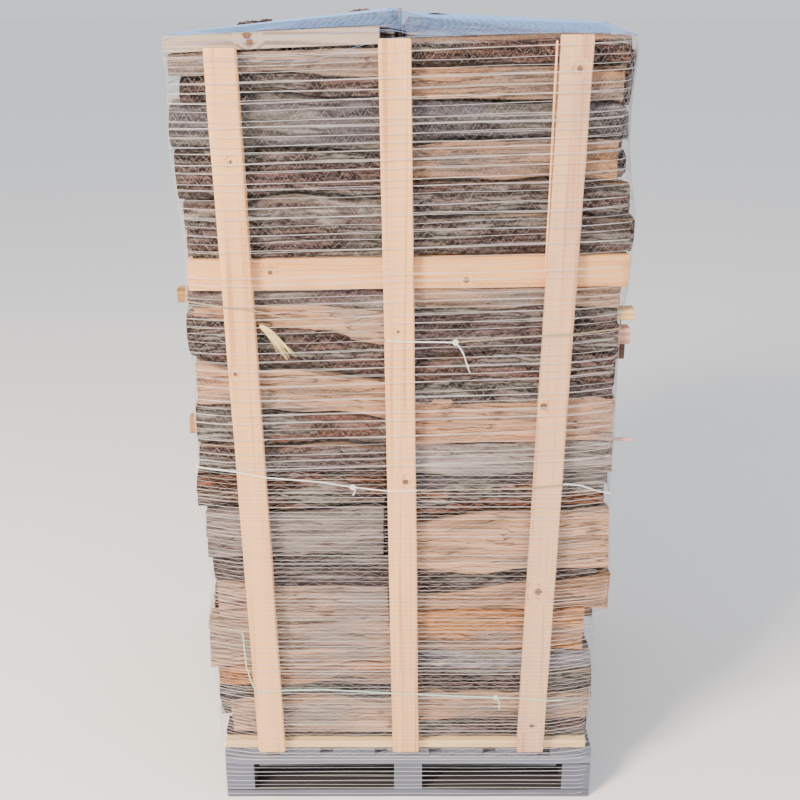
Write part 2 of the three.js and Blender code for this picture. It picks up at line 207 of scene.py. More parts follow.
def bark_material():
    """Dry bark of oak, birch and beech, as it weathered on the log: corky ridges with furrows along
    the stem, whose near-black colour is partly the bark's own and partly painted shade in the
    recesses, greyer and smoother where the tone says so, dusty and matt."""
    material, tree, shader = surface("weathered_bark", Specular_IOR_Level=0.25, IOR=1.45)
    place = add(tree, "TexCoord", out="Object")
    light, warm, smooth = tone_of(tree)
    bend = add(tree, "TexNoise", {"Vector": place, "Scale": METRE / 62.5, "Detail": 3}, "Color")
    shift = add(tree, "VectorMath", {0: bend, 1: (0.05, 0.014, 0.014)}, operation="MULTIPLY")
    swayed = add(tree, "VectorMath", {0: place, 1: shift}, operation="ADD")
    # Furrows run about 140 mm along the stem and sit about 12 mm apart round it.
    turns = add(
        tree, "VectorMath", {0: swayed, 1: per_metre(143, 11.9, 11.9)}, operation="MULTIPLY"
    )
    furrow = add(
        tree, "TexVoronoi", {"Vector": turns, "Scale": 1.0, "Randomness": 1.0}, "Distance",
        feature="DISTANCE_TO_EDGE",
    )
    ridge = add(tree, "ValToRGB", {0: furrow}, stops=[(0.0, 0.0), (0.12, 0.6), (0.4, 1.0)])
    streak = pattern(tree, swayed, (250, 9.52, 9.52), 5, Roughness=0.66)
    crumbs = pattern(tree, place, (11.11, 3.333, 3.333), 4)
    patches = pattern(tree, place, (250, 38.46, 38.46), 4)
    mossy = pattern(tree, swayed, (200, 33.33, 33.33), 3)
    brown = add(
        tree, "Mix", {0: warm, 6: linear("#7b7a85"), 7: linear("#925637")}, **COLOURS
    )
    dusty = add(tree, "MapRange", {0: patches, 1: 0.45, 2: 0.62})
    plate = add(tree, "Mix", {0: dusty, 6: brown, 7: linear("#aaa39d")}, **COLOURS)
    grown = add(tree, "MapRange", {0: mossy, 1: 0.58, 2: 0.72, 3: 0.0, 4: 0.5})
    moss = add(tree, "Mix", {0: grown, 6: plate, 7: linear("#7d7350")}, **COLOURS)
    lines = add(
        tree, "ValToRGB", {0: streak},
        stops=[(0.36, 0.08), (0.46, 0.42), (0.56, 0.9), (0.68, 1.0)],
    )
    streaked = add(
        tree, "Mix", {0: 0.9, 6: moss, 7: lines}, blend_type="MULTIPLY", **COLOURS
    )
    mottled = add(
        tree, "Mix", {0: 0.35, 6: streaked, 7: crumbs}, blend_type="MULTIPLY", **COLOURS
    )
    lit = add(tree, "MapRange", {0: light, 1: 0.0, 2: 1.0, 3: 0.4, 4: 2.0})
    bright = add(tree, "VectorMath", {0: mottled, "Scale": lit}, operation="SCALE")
    shallow = add(tree, "Math", {0: ridge, 1: smooth}, operation="MAXIMUM")
    # Painted shade: the furrows are painted near black, partly the bark's own darker colour and
    # partly the shade that falls in them. Smooth bark keeps less of it.
    colour = add(tree, "Mix", {0: shallow, 6: linear("#15100e"), 7: bright}, **COLOURS)
    grit = add(tree, "Math", {0: streak, 1: crumbs}, operation="ADD")
    height = add(tree, "Math", {0: shallow, 1: grit}, operation="ADD")
    rough = add(tree, "MapRange", {0: crumbs, 1: 0.0, 2: 1.0, 3: 0.82, 4: 0.97})
    finish_surface(tree, shader, colour, rough, height, 0.005)
    return material


def split_material():
    """Air-dry hardwood torn along the grain by a splitter: long fibres, dark streaks, drying
    cracks and small knots, pale inside and grey where it has weathered."""
    material, tree, shader = surface("split_hardwood", Specular_IOR_Level=0.3, IOR=1.5)
    place = add(tree, "TexCoord", out="Object")
    light, warm, _ = tone_of(tree)
    drift = add(tree, "TexNoise", {"Vector": place, "Scale": METRE / 200, "Detail": 2}, "Color")
    shift = add(tree, "VectorMath", {0: drift, 1: (0.0, 0.03, 0.03)}, operation="MULTIPLY")
    grain = add(tree, "VectorMath", {0: place, 1: shift}, operation="ADD")
    # Fibres are 2 to 5 mm wide and run for 100 to 300 mm; bands and cracks are wider apart.
    fibre = pattern(tree, grain, (200, 5.263, 5.263), 5, Roughness=0.65)
    band = pattern(tree, grain, (416.7, 26.32, 26.32), 4, Roughness=0.6)
    crack = pattern(tree, grain, (312.5, 16.13, 16.13), 2)
    stain = pattern(tree, place, (250, 76.92, 76.92), 4)
    turns = add(
        tree, "VectorMath", {0: place, 1: per_metre(200, 71.43, 71.43)}, operation="MULTIPLY"
    )
    knot = add(
        tree, "TexVoronoi", {"Vector": turns, "Scale": 1.0, "Randomness": 1.0}, "Distance"
    )
    cooler = add(tree, "MapRange", {0: warm, 1: 0.0, 2: 0.5})
    cool = add(
        tree, "Mix", {0: cooler, 6: linear("#a7a6aa"), 7: linear("#e0b391")}, **COLOURS
    )
    warmer = add(tree, "MapRange", {0: warm, 1: 0.5, 2: 1.0})
    base = add(tree, "Mix", {0: warmer, 6: cool, 7: linear("#d78f4f")}, **COLOURS)
    streak = add(
        tree, "ValToRGB", {0: band}, stops=[(0.36, 0.28), (0.46, 0.72), (0.57, 1.0)]
    )
    hair = add(
        tree, "ValToRGB", {0: fibre}, stops=[(0.34, 0.22), (0.44, 0.72), (0.56, 1.0)]
    )
    split = add(
        tree, "ValToRGB", {0: crack},
        stops=[(0.468, 1.0), (0.487, 0.1), (0.497, 0.1), (0.514, 1.0)],
    )
    colour = base
    for share, marks in ((0.8, streak), (0.75, hair), (0.65, split)):
        colour = add(
            tree, "Mix", {0: share, 6: colour, 7: marks}, blend_type="MULTIPLY", **COLOURS
        )
    greyed = add(tree, "MapRange", {0: stain, 1: 0.46, 2: 0.68, 3: 0.0, 4: 0.75})
    grey = add(
        tree, "Mix", {0: 0.8, 6: linear("#96908e"), 7: hair}, blend_type="MULTIPLY", **COLOURS
    )
    colour = add(tree, "Mix", {0: greyed, 6: colour, 7: grey}, **COLOURS)
    spot = add(tree, "MapRange", {0: knot, 1: 0.07, 2: 0.16, 3: 0.75, 4: 0.0})
    colour = add(tree, "Mix", {0: spot, 6: colour, 7: linear("#5f4435")}, **COLOURS)
    lit = add(tree, "MapRange", {0: light, 1: 0.0, 2: 1.0, 3: 0.24, 4: 1.04})
    colour = add(tree, "VectorMath", {0: colour, "Scale": lit}, operation="SCALE")
    relief = add(tree, "Math", {0: fibre, 1: band}, operation="ADD")
    height = add(tree, "Math", {0: relief, 1: split}, operation="ADD")
    rough = add(tree, "MapRange", {0: fibre, 1: 0.0, 2: 1.0, 3: 0.9, 4: 0.7})
    finish_surface(tree, shader, colour, rough, height, 0.0045)
    return material


def end_material():
    """Chainsawn end grain: growth rings round the pith, drying checks that run out from it,
    and fine saw lines across."""
    material, tree, shader = surface("chainsawn_end_grain", Specular_IOR_Level=0.25, IOR=1.5)
    place = add(tree, "TexCoord", out="Object")
    grain = add(tree, "Attribute", out="Vector", attribute_name="grain")
    light, warm, _ = tone_of(tree)
    parts = add(tree, "SeparateXYZ", {0: grain}, None)
    flat = add(tree, "CombineXYZ", {"X": 0.0, "Y": parts[1], "Z": parts[2]})
    sway = add(tree, "TexNoise", {"Vector": place, "Scale": METRE / 33.33, "Detail": 3})
    radius = add(tree, "VectorMath", {0: flat}, "Value", operation="LENGTH")
    # Rings are about 3 mm wide.
    turns = add(
        tree, "Math", {0: radius, 1: METRE / 3.0303, 2: sway}, operation="MULTIPLY_ADD"
    )
    ring = add(tree, "Math", {0: turns}, operation="FRACT")
    ringed = add(
        tree, "ValToRGB", {0: ring},
        stops=[(0.0, "#cfa67c"), (0.62, "#dcb890"), (0.86, "#9a7049"), (1.0, "#c69c6c")],
    )
    angle = add(tree, "Math", {0: parts[2], 1: parts[1]}, operation="ARCTAN2")
    fan = add(
        tree, "VectorMath", {0: flat, 1: (0.0, METRE / 166.7, METRE / 166.7)},
        operation="MULTIPLY",
    )
    ray = add(
        tree, "TexNoise", {"W": angle, "Vector": fan, "Scale": 5.5, "Detail": 2},
        noise_dimensions="4D",
    )
    check = add(tree, "ValToRGB", {0: ray}, stops=[(0.32, 0.0), (0.36, 1.0), (0.7, 1.0)])
    dirt = pattern(tree, place, (71.43, 71.43, 71.43), 5)
    colour = ringed
    for value, low, high, least, most, tint in (
        (dirt, 0.35, 0.7, 0.15, 0.8, "#938981"), (warm, 0.3, 0.0, 0.0, 0.75, "#8c8680"),
        (warm, 0.6, 1.0, 0.0, 0.6, "#b5743f"),
    ):
        share = add(tree, "MapRange", {0: value, 1: low, 2: high, 3: least, 4: most})
        colour = add(tree, "Mix", {0: share, 6: colour, 7: linear(tint)}, **COLOURS)
    lit = add(tree, "MapRange", {0: light, 1: 0.0, 2: 1.0, 3: 0.3, 4: 1.0})
    colour = add(tree, "VectorMath", {0: colour, "Scale": lit}, operation="SCALE")
    colour = add(tree, "Mix", {0: check, 6: linear("#2c211a"), 7: colour}, **COLOURS)
    saw = pattern(tree, place, (25, 16.67, 2), 2)
    height = add(tree, "Math", {0: saw, 1: 0.4, 2: check}, operation="MULTIPLY_ADD")
    rough = add(tree, "MapRange", {0: saw, 1: 0.0, 2: 1.0, 3: 0.8, 4: 0.95})
    finish_surface(tree, shader, colour, rough, height, 0.002)
    return material


def sawn_material(name, along, knots, pale, dark, grey=0.0, painted_pocket_shade=False):
    """Rough-sawn spruce: straight grain lines that bend round small brown knots, and a furry
    band-sawn surface. along is the axis that the grain follows; knots are (x, y, z, radius).
    Boards given painted pocket shade have near black painted on the faces that look up or inwards:
    painted shade, as falls in the pallet's openings."""
    material, tree, shader = surface(f"sawn_spruce_{name}", Specular_IOR_Level=0.35, IOR=1.5)
    place = add(tree, "TexCoord", out="Object")
    # Grain lines are 3 to 6 mm apart, in bands of 10 mm, and run most of a metre.
    size = [10.526, 10.526, 10.526]
    size[along] = 625
    push = None
    for x, y, z, radius in knots:
        far = add(tree, "VectorMath", {0: place, 1: (x, y, z)}, "Value", operation="DISTANCE")
        near = add(
            tree, "MapRange", {0: far, 1: radius * 0.5, 2: radius * 5.5, 3: 1.0, 4: 0.0},
            interpolation_type="SMOOTHERSTEP",
        )
        rim = add(tree, "MapRange", {0: far, 1: radius * 0.8, 2: radius * 1.25, 3: 1.0, 4: 0.0})
        middle = add(
            tree, "MapRange", {0: far, 1: radius * 0.35, 2: radius * 0.85, 3: 0.75, 4: 0.0}
        )
        if push is None:
            push, knot, heart = near, rim, middle
        else:
            push, knot, heart = [
                add(tree, "Math", {0: a, 1: b}, operation="MAXIMUM")
                for a, b in ((push, near), (knot, rim), (heart, middle))
            ]
    stretched = add(tree, "VectorMath", {0: place, 1: per_metre(*size)}, operation="MULTIPLY")
    if push is not None:
        aside = add(tree, "VectorMath", {0: (1.6, 1.2, 1.6), "Scale": push}, operation="SCALE")
        stretched = add(tree, "VectorMath", {0: stretched, 1: aside}, operation="ADD")
    lines = add(
        tree, "TexNoise", {"Vector": stretched, "Scale": 1, "Detail": 4, "Distortion": 0.35}
    )
    wider = add(tree, "VectorMath", {0: stretched, 1: (0.22, 0.22, 0.22)}, operation="MULTIPLY")
    broad = add(tree, "TexNoise", {"Vector": wider, "Scale": 1, "Detail": 2})
    colour = add(
        tree, "ValToRGB", {0: lines}, stops=[(0.32, dark), (0.5, pale), (0.72, pale)]
    )
    shade = add(tree, "ValToRGB", {0: broad}, stops=[(0.3, 0.84), (0.6, 1.0)])
    colour = add(
        tree, "Mix", {0: 0.8, 6: colour, 7: shade}, blend_type="MULTIPLY", **COLOURS
    )
    if grey:
        soil = add(tree, "TexNoise", {"Vector": place, "Scale": METRE / 111.1, "Detail": 5})
        amount = add(tree, "MapRange", {0: soil, 1: 0.3, 2: 0.7, 3: grey * 0.5, 4: grey})
        colour = add(tree, "Mix", {0: amount, 6: colour, 7: linear("#7d8397")}, **COLOURS)
    if push is not None:
        colour = add(tree, "Mix", {0: knot, 6: colour, 7: linear("#5a3e2c")}, **COLOURS)
        colour = add(tree, "Mix", {0: heart, 6: colour, 7: linear("#7f5c41")}, **COLOURS)
    # Painted shade: faces that turn away from the front and back are painted near black, for the
    # shade in the pallet's openings.
    if painted_pocket_shade:
        facing = add(tree, "TexCoord", out="Normal")
        forward = add(tree, "SeparateXYZ", {0: facing}, "Y")
        outward = add(tree, "Math", {0: forward}, operation="ABSOLUTE")
        pocket_shade_share = add(tree, "MapRange", {0: outward, 1: 0.85, 2: 0.5, 3: 0.0, 4: 0.92})
        colour = add(tree, "Mix", {0: pocket_shade_share, 6: colour, 7: linear("#2b2725")}, **COLOURS)
    fuzz = add(tree, "TexNoise", {"Vector": place, "Scale": METRE / 2.381, "Detail": 2})
    height = add(tree, "Math", {0: lines, 1: 0.6, 2: fuzz}, operation="MULTIPLY_ADD")
    rough = add(tree, "MapRange", {0: lines, 3: 0.85, 4: 0.62})
    finish_surface(tree, shader, colour, rough, height, 0.0008)
    return material


def plastic_material(name, colour, roughness, sheen):
    """Drawn polyolefin tape or yarn: a soft sheen along the yarn, and slightly uneven where it
    is stretched."""
    material, tree, shader = surface(
        f"drawn_polyolefin_{name}", Specular_IOR_Level=0.5, IOR=1.5, Sheen_Weight=sheen,
        Sheen_Roughness=0.4,
    )
    place = add(tree, "TexCoord", out="Object")
    uneven = add(tree, "TexNoise", {"Vector": place, "Scale": METRE / 16.67, "Detail": 3})
    shade = add(tree, "ValToRGB", {0: uneven}, stops=[(0.3, 0.8), (0.65, 1.0)])
    tint = add(
        tree, "Mix", {0: 0.6, 6: linear(colour), 7: shade}, blend_type="MULTIPLY", **COLOURS
    )
    rough = add(tree, "MapRange", {0: uneven, 3: roughness - 0.08, 4: roughness + 0.1})
    fibrils = add(tree, "TexNoise", {"Vector": place, "Scale": METRE / 1.111, "Detail": 1})
    finish_surface(tree, shader, tint, rough, fibrils, 0.0002, 0.5)
    return material


# ------------------------------------------------------------------ shapes


def unit(vectors):
    """The vectors at a length of one."""
    return vectors / np.maximum(np.linalg.norm(vectors, axis=-1, keepdims=True), 1e-9)


def grouped(points):
    """Points in y and z round their middle, in order of angle."""
    middle = points.mean(axis=0)
    angle = np.arctan2(points[:, 1] - middle[1], points[:, 0] - middle[0])
    return points[np.argsort(angle)]


def ends_of(name, axis):
    """A CAD prism's two end outlines, lowest end first, each as its own corners in order."""
    mesh = bpy.data.objects[name].data
    points = np.empty(len(mesh.vertices) * 3)
    mesh.vertices.foreach_get("co", points)
    points = np.unique(points.reshape(-1, 3).round(6), axis=0)
    points = points[np.argsort(points[:, axis], kind="stable")]
    half = len(points) // 2
    others = [i for i in range(3) if i != axis]
    ends = []
    for group in (points[:half], points[half:]):
        ends.append((group[:, axis].mean(), grouped(group[:, others])))
    return ends


def sides_of(polygon):
    """Each side's outward normal, for a polygon in counterclockwise order."""
    side = np.roll(polygon, -1, axis=0) - polygon
    return unit(np.stack([side[:, 1], -side[:, 0]], axis=1))


def softened(polygon, round_side):
    """Cuts the corners between two round sides, and says which sides are round after it."""
    points, kinds = [], []
    count = len(polygon)
    for i in range(count):
        before, here = round_side[i - 1], round_side[i]
        if before and here:
            previous, after = polygon[i - 1], polygon[(i + 1) % count]
            points += [polygon[i] * 0.75 + previous * 0.25, polygon[i] * 0.75 + after * 0.25]
            kinds += [True, here]
        else:
            points.append(polygon[i])
            kinds.append(here)
    return np.array(points), kinds


def spread(outlines, kinds, count):
    """The outlines of both ends with count points on each, every corner kept, and the kind of
    the side after each point."""
    lengths = sum(np.linalg.norm(np.roll(o, -1, axis=0) - o, axis=1) for o in outlines)
    shares = lengths / lengths.sum() * count
    pieces = np.maximum(1, np.floor(shares)).astype(int)
    while pieces.sum() < count:
        pieces[np.argmax(shares - pieces)] += 1
    rings = [[] for _ in outlines]
    sides = []
    for i, steps in enumerate(pieces):
        j = (i + 1) % len(pieces)
        for step in range(steps):
            share = step / steps
            for ring, outline in zip(rings, outlines):
                ring.append(outline[i] * (1 - share) + outline[j] * share)
            sides.append(kinds[i])
    return [np.array(ring) for ring in rings], np.array(sides)


# Bumps as (length along the log, width across it, height) in metres, on bark and on a face
# torn by the splitter; what both are drawn in by, so that logs keep clear of each other; and
# the bends of a whole log.
BARK_BUMPS = ((0.16, 0.07, 0.0032), (0.05, 0.03, 0.0014))
TORN_BUMPS = ((0.6, 0.03, 0.0018), (0.25, 0.07, 0.0026))
DRAWN_IN = 0.0012
BENDS = ((0.9, 1, 0.0016, 3), (0.9, 1, 0.0014, 3))
# The heights at which there is straight timber: the laths, the long plank and the top.
STRAIGHT = ((0.0, 0.190), (1.424, 1.512), (1.945, 3.0))


def waves(x, s, dice, along, across, size, terms=6):
    """A smooth bumpy height over x and s, with bumps about along by across long and wide."""
    total = np.zeros(np.broadcast(x, s).shape)
    for _ in range(terms):
        kx = dice.normal() / along
        ks = dice.normal() / across
        total += np.sin(2 * math.pi * (kx * x + ks * s) + dice.uniform(0, 2 * math.pi))
    return total * size / math.sqrt(terms)


def flow(x, z):
    """How far the wood at x and z is moved up, shared by all logs so that their wavy edges
    still meet. It dies out near the straight planks and laths."""
    dice = np.random.default_rng(77)
    total = np.zeros(np.broadcast(x, z).shape)
    for _ in range(9):
        kx, kz = dice.normal(0, 2.4), dice.normal(0, 4.5)
        total += np.sin(2 * math.pi * (kx * x + kz * z) + dice.uniform(0, 2 * math.pi))
    calm = np.ones(total.shape)
    for low, high in STRAIGHT:
        away = np.maximum(np.maximum(low - z, z - high), 0.0)
        calm *= np.clip(away / 0.06, 0.0, 1.0)
    return total * calm * 0.0026


def log_part(ends, places, kinds, pith, tone, dice, around, stations, rough=1.0):
    """One log as arrays: a body between two outlines in y and z at two places on x, bark and
    split sides roughened each in its way, and sawn ends with a rim of bark."""
    rings, bark = spread(ends, kinds, around)
    count = len(rings[0])
    t = np.linspace(0, 1, stations) if np.isscalar(stations) else np.array(stations)
    x = places[0] + (places[1] - places[0]) * t
    body = rings[0][None] * (1 - t)[:, None, None] + rings[1][None] * t[:, None, None]
    middle = body.mean(axis=1, keepdims=True)
    outward = unit(body - middle)
    gap = np.linalg.norm(np.roll(rings[0], -1, axis=0) - rings[0], axis=1)
    s = np.concatenate([[0], np.cumsum(gap)[:-1]])[None, :]
    xs = x[:, None]
    lumps = sum(waves(xs, s, dice, *bump) for bump in BARK_BUMPS)
    torn = sum(waves(xs, s, dice, *bump) for bump in TORN_BUMPS)
    is_bark = (bark | np.roll(bark, 1)).astype(float)[None, :]
    push = (lumps * is_bark + torn * (1 - is_bark)) * rough - DRAWN_IN
    body = body + outward * push[:, :, None]
    sway = np.stack([waves(x, 0 * x, dice, *bend) for bend in BENDS], 1)
    body = body + sway[:, None, :]
    body[:, :, 1] += flow(xs, body[:, :, 1])
    lean = dice.normal(0, 0.035, 2)
    shift = (body - middle) @ lean
    fade0, fade1 = np.clip(1 - t / 0.12, 0, 1), np.clip(1 - (1 - t) / 0.12, 0, 1)
    xx = xs + shift * (fade0 + fade1)[:, None]
    points = np.concatenate([xx[:, :, None], body], axis=2)
    faces, slots = [], []
    for k in range(len(t) - 1):
        for i in range(count):
            j = (i + 1) % count
            faces.append((k * count + i, k * count + j, (k + 1) * count + j, (k + 1) * count + i))
            slots.append(0 if bark[i] else 1)
    flat = points.reshape(-1, 3)
    extra = []
    for k, turn in ((0, True), (len(t) - 1, False)):
        ring = points[k]
        centre = ring.mean(axis=0)
        start = len(flat) + sum(len(e) for e in extra)
        width = np.linalg.norm(ring - centre, axis=1, keepdims=True)
        inner = centre + (ring - centre) * (1 - np.minimum(0.006 / width, 0.3))
        deeper = centre + (ring - centre) * 0.5
        extra += [inner, deeper, centre[None]]
        for i in range(count):
            j = (i + 1) % count
            outer = (k * count + i, k * count + j)
            quads = [
                ((outer[0], outer[1], start + j, start + i), 0 if bark[i] else 2),
                ((start + i, start + j, start + count + j, start + count + i), 2),
                ((start + count + i, start + count + j, start + 2 * count), 2),
            ]
            for face, slot in quads:
                faces.append(face[::-1] if turn else face)
                slots.append(slot)
    flat = np.concatenate([flat, *extra])
    grain = flat - np.array([0, *pith])
    grain[:, 0] = flat[:, 0]
    return {"points": flat, "faces": faces, "slots": slots, "grain": grain, "tone": tone}


def make_object(name, parts, materials, sharp=32):
    """One object of several closed bodies, with a grain and a tone attribute."""
    points, faces, slots, grain, tone = [], [], [], [], []
    offset = 0
    for part in parts:
        points.append(part["points"])
        faces += [tuple(i + offset for i in face) for face in part["faces"]]
        slots += list(part["slots"])
        grain.append(part.get("grain", part["points"]))
        tone.append(np.tile(part.get("tone", (0.5, 0.5, 0.0)), (len(part["points"]), 1)))
        offset += len(part["points"])
    mesh = bpy.data.meshes.new(name)
    mesh.from_pydata(np.concatenate(points).tolist(), [], faces)
    for material in materials:
        mesh.materials.append(material)
    mesh.polygons.foreach_set("material_index", np.array(slots, dtype=np.int32))
    for key, values in (("grain", grain), ("tone", tone)):
        attribute = mesh.attributes.new(key, "FLOAT_VECTOR", "POINT")
        attribute.data.foreach_set("vector", np.concatenate(values).astype(np.float32).ravel())
    mesh.polygons.foreach_set("use_smooth", np.ones(len(faces), dtype=bool))
    mesh.set_sharp_from_angle(angle=math.radians(sharp))
    mesh.update()
    piece = bpy.data.objects.new(name, mesh)
    bpy.context.scene.collection.objects.link(piece)
    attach(piece, "root")
    return piece


def clipped(polygon, normal, offset):
    """The part of a convex polygon where normal . p <= offset."""
    kept = []
    count = len(polygon)
    inside = polygon @ normal <= offset
    for i in range(count):
        j = (i + 1) % count
        if inside[i]:
            kept.append(polygon[i])
        if inside[i] != inside[j]:
            a, b = polygon[i] @ normal - offset, polygon[j] @ normal - offset
            kept.append(polygon[i] + (polygon[j] - polygon[i]) * a / (a - b))
    return np.array(kept)


def shrunk(polygon, distance):
    """A convex polygon with every side moved inwards."""
    result = polygon
    for point, normal in zip(polygon, sides_of(polygon)):
        if len(result) < 3:
            break
        result = clipped(result, normal, point @ normal - distance)
    return result


def merged_corners(polygon, closest=0.004):
    """A polygon without its very short sides."""
    kept = [polygon[0]]
    for point in polygon[1:]:
        if np.linalg.norm(point - kept[-1]) > closest:
            kept.append(point)
    if len(kept) > 3 and np.linalg.norm(kept[0] - kept[-1]) <= closest:
        kept.pop()
    return np.array(kept)


# ------------------------------------------------------------------ the piles


def front_outlines(name):
    """Both end outlines of a front log or plank, left end first, with their places on x."""
    ends = ends_of(name, 0)
    return [outline for _, outline in ends], [place for place, _ in ends]


def height_at(polygon, y, top):
    """The polygon's highest or lowest z at a given y."""
    found = []
    for a, b in zip(polygon, np.roll(polygon, -1, axis=0)):
        if min(a[0], b[0]) <= y <= max(a[0], b[0]) and abs(a[0] - b[0]) > 1e-9:
            found.append(a[1] + (b[1] - a[1]) * (y - a[0]) / (b[0] - a[0]))
    if not found:
        near = polygon[np.argmin(abs(polygon[:, 0] - y))]
        return near[1]
    return max(found) if top else min(found)


def at_place(outlines, places, x):
    """A front piece's section at a place between its two ends."""
    share = (x - places[0]) / (places[1] - places[0])
    return outlines[0] * (1 - share) + outlines[1] * share


# A thin log's inner end on x, how far behind the front face its section has corners, and the
# gap that it keeps to its neighbours.
THIN_INNER = {"left": -0.030, "right": 0.002}
THIN_DEPTHS = np.array([0.008, 0.030, 0.058, 0.080])
THIN_GAP = 0.0015


def thin_outlines(below, above, side, tip, floor):
    """The outlines of a thin log that fills the slit between two front pieces."""
    places = (-tip, THIN_INNER[side]) if side == "left" else (THIN_INNER[side], tip)
    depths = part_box("log_left_01")[0][1] + THIN_DEPTHS
    upper = front_outlines(above)
    lower = front_outlines(below) if below else None
    outlines = []
    for x in places:
        roof = [height_at(at_place(*upper, x), y, False) - THIN_GAP for y in depths]
        base = [
            height_at(at_place(*lower, x), y, True) + THIN_GAP if lower else floor
            for y in depths
        ]
        base = [min(b, r - 0.006) for b, r in zip(base, roof)]
        outline = [*zip(depths, base), *zip(depths[::-1], roof[::-1])]
        outlines.append(np.array(outline))
    return outlines, places


def front_part(name, dice, around, stations):
    """A front log on its CAD outlines, with bark or a split face to the front."""
    face, *tone = FRONT_LOGS[name]
    outlines, places = front_outlines(name)
    normals = sides_of(outlines[0])
    bark = [bool(n[0] < -0.25) if face == "bark" else bool(n[0] > 0.25) for n in normals]
    eased = [softened(outline, bark) for outline in outlines]
    kinds = eased[0][1]
    middle = np.mean([o.mean(axis=0) for o in outlines], axis=0)
    depth = np.ptp(outlines[0][:, 0]) / 2
    pith = middle + np.array([depth * (1.1 if face == "bark" else -0.9), dice.normal(0, 0.01)])
    return log_part(
        [e[0] for e in eased], places, kinds, pith, tone, dice, around, stations
    )


def thin_part(name, dice, around, stations):
    """A thin front log in the slit between two courses."""
    below, above, face, *tone, tip = THIN_LOGS[name]
    side = "left" if "left" in name else "right"
    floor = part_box("pile_left")[0][2] + 0.001
    outlines, places = thin_outlines(below, above, side, tip, floor)
    kinds = [face == "bark"] * len(outlines[0])
    middle = outlines[0].mean(axis=0)
    return log_part(
        outlines, places, kinds, middle + [0.05, 0.01], tone, dice, around, stations, 0.5
    )


def random_tone(dice):
    """Lightness, warmth and smoothness in the mix that the load has."""
    return (
        float(np.clip(dice.normal(0.55, 0.24), 0.1, 1.0)),
        float(dice.uniform(0.0, 1.0)),
        float(dice.choice([0.1, 0.1, 0.3, 0.8])),
    )


def split_up(cell, dice):
    """A cell as one round log, or cut through its middle into the halves and quarters of a
    split one. Gives each piece with the lines that it was cut along, as (normal, offset)."""
    width = np.ptp(cell, axis=0).min()
    if width < 0.07 or dice.uniform() < 0.16:
        return [(cell, [])]
    middle = cell.mean(axis=0) + dice.normal(0, 0.010, 2)
    turn = dice.uniform(0, math.pi)
    first = np.array([math.cos(turn), math.sin(turn)])
    turn += math.pi / 2 + dice.normal(0, 0.25)
    second = np.array([math.cos(turn), math.sin(turn)])
    pieces = []
    for way in (first, -first):
        half = clipped(cell, way, way @ middle)
        if width > 0.095 and dice.uniform() < 0.45:
            for cross in (second, -second):
                pieces.append((
                    clipped(half, cross, cross @ middle),
                    [(way, way @ middle), (cross, cross @ middle)],
                ))
        else:
            pieces.append((half, [(way, way @ middle)]))
    return pieces


# How far a pile's top lies over its outer rim, and over its crest at the middle of the load.
CROWN = {"left": (0.088, 0.0), "right": (0.058, 0.022)}


def crown_height(side, y, x):
    """The top of a pile at a place, which rises towards the middle of the load."""
    low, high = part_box(f"pile_{side}")
    outer, inner = (low[0], high[0]) if side == "left" else (high[0], low[0])
    share = (x - outer) / (inner - outer)
    rim, crest = [high[2] - below for below in CROWN[side]]
    flat = np.interp(abs(y), [0.15, 0.38, 0.49], [0.0, 0.022, 0.055])
    outer_top = rim + 0.026 * (1 - abs(y) / 0.5)
    return outer_top + (crest - flat - outer_top) * share


def hidden_seeds(side, columns, dice):
    """Middles and radii of the logs behind the front ones, in columns from front to back."""
    low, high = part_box(f"pile_{side}")
    seeds = []
    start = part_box("log_left_01")[0][1] + 0.105
    pitch = (high[1] - start) / columns
    for column in range(columns):
        y = start + pitch * (column + 0.5)
        z = low[2]
        while z < high[2] + 0.02:
            height = float(np.clip(dice.normal(0.128, 0.026), 0.075, 0.19))
            seeds.append((column, y + dice.normal(0, 0.020), z + height / 2, height / 2))
            z += height
    return seeds


def fronts_of(side):
    """The end outlines and places of all that the hidden logs of a pile lie behind or under."""
    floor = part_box(f"pile_{side}")[0][2] + 0.001
    fronts = []
    for name in [n for n in (*FRONT_LOGS, *THIN_LOGS) if side in n]:
        if name in FRONT_LOGS:
            fronts.append(front_outlines(name))
        else:
            below, above, *_, tip = THIN_LOGS[name]
            fronts.append(thin_outlines(below, above, side, tip, floor))
    fronts.append(front_outlines("plank_long"))
    if side == "left":
        fronts.append(front_outlines("plank_top_left"))
    return fronts


SQUARE = np.array([[-1, -1], [1, -1], [1, 1], [-1, 1]])
CELL_REACH = 0.2  # half the square that a cell is cut from


def cell_of(index, seeds):
    """The region round one seed that the seeds near it leave to it, or what little is left."""
    _, y, z, radius = seeds[index]
    cell = np.array([y, z]) + SQUARE * CELL_REACH
    for other, (_, v, w, r) in enumerate(seeds):
        if other == index or math.hypot(v - y, w - z) > 0.36:
            continue
        normal = np.array([v - y, w - z])
        offset = (normal @ [y + v, z + w] + radius**2 - r**2) / 2
        cell = clipped(cell, normal, offset)
        if len(cell) < 3:
            break
    return cell


def cleared(cell, y, z, fronts, middle):
    """A cell cut back behind the front pieces near its seed, or what little is left of it."""
    for outlines, spots in fronts:
        front = at_place(outlines, spots, middle)
        if abs(front[:, 1].mean() - z) > 0.25:
            continue
        normals = sides_of(front)
        out = ((np.array([y, z]) - front) * normals).sum(axis=1)
        best = int(np.argmax(out))
        cell = clipped(cell, -normals[best], -(front[best] @ normals[best]) - 0.001)
        if len(cell) < 3:
            break
    return cell


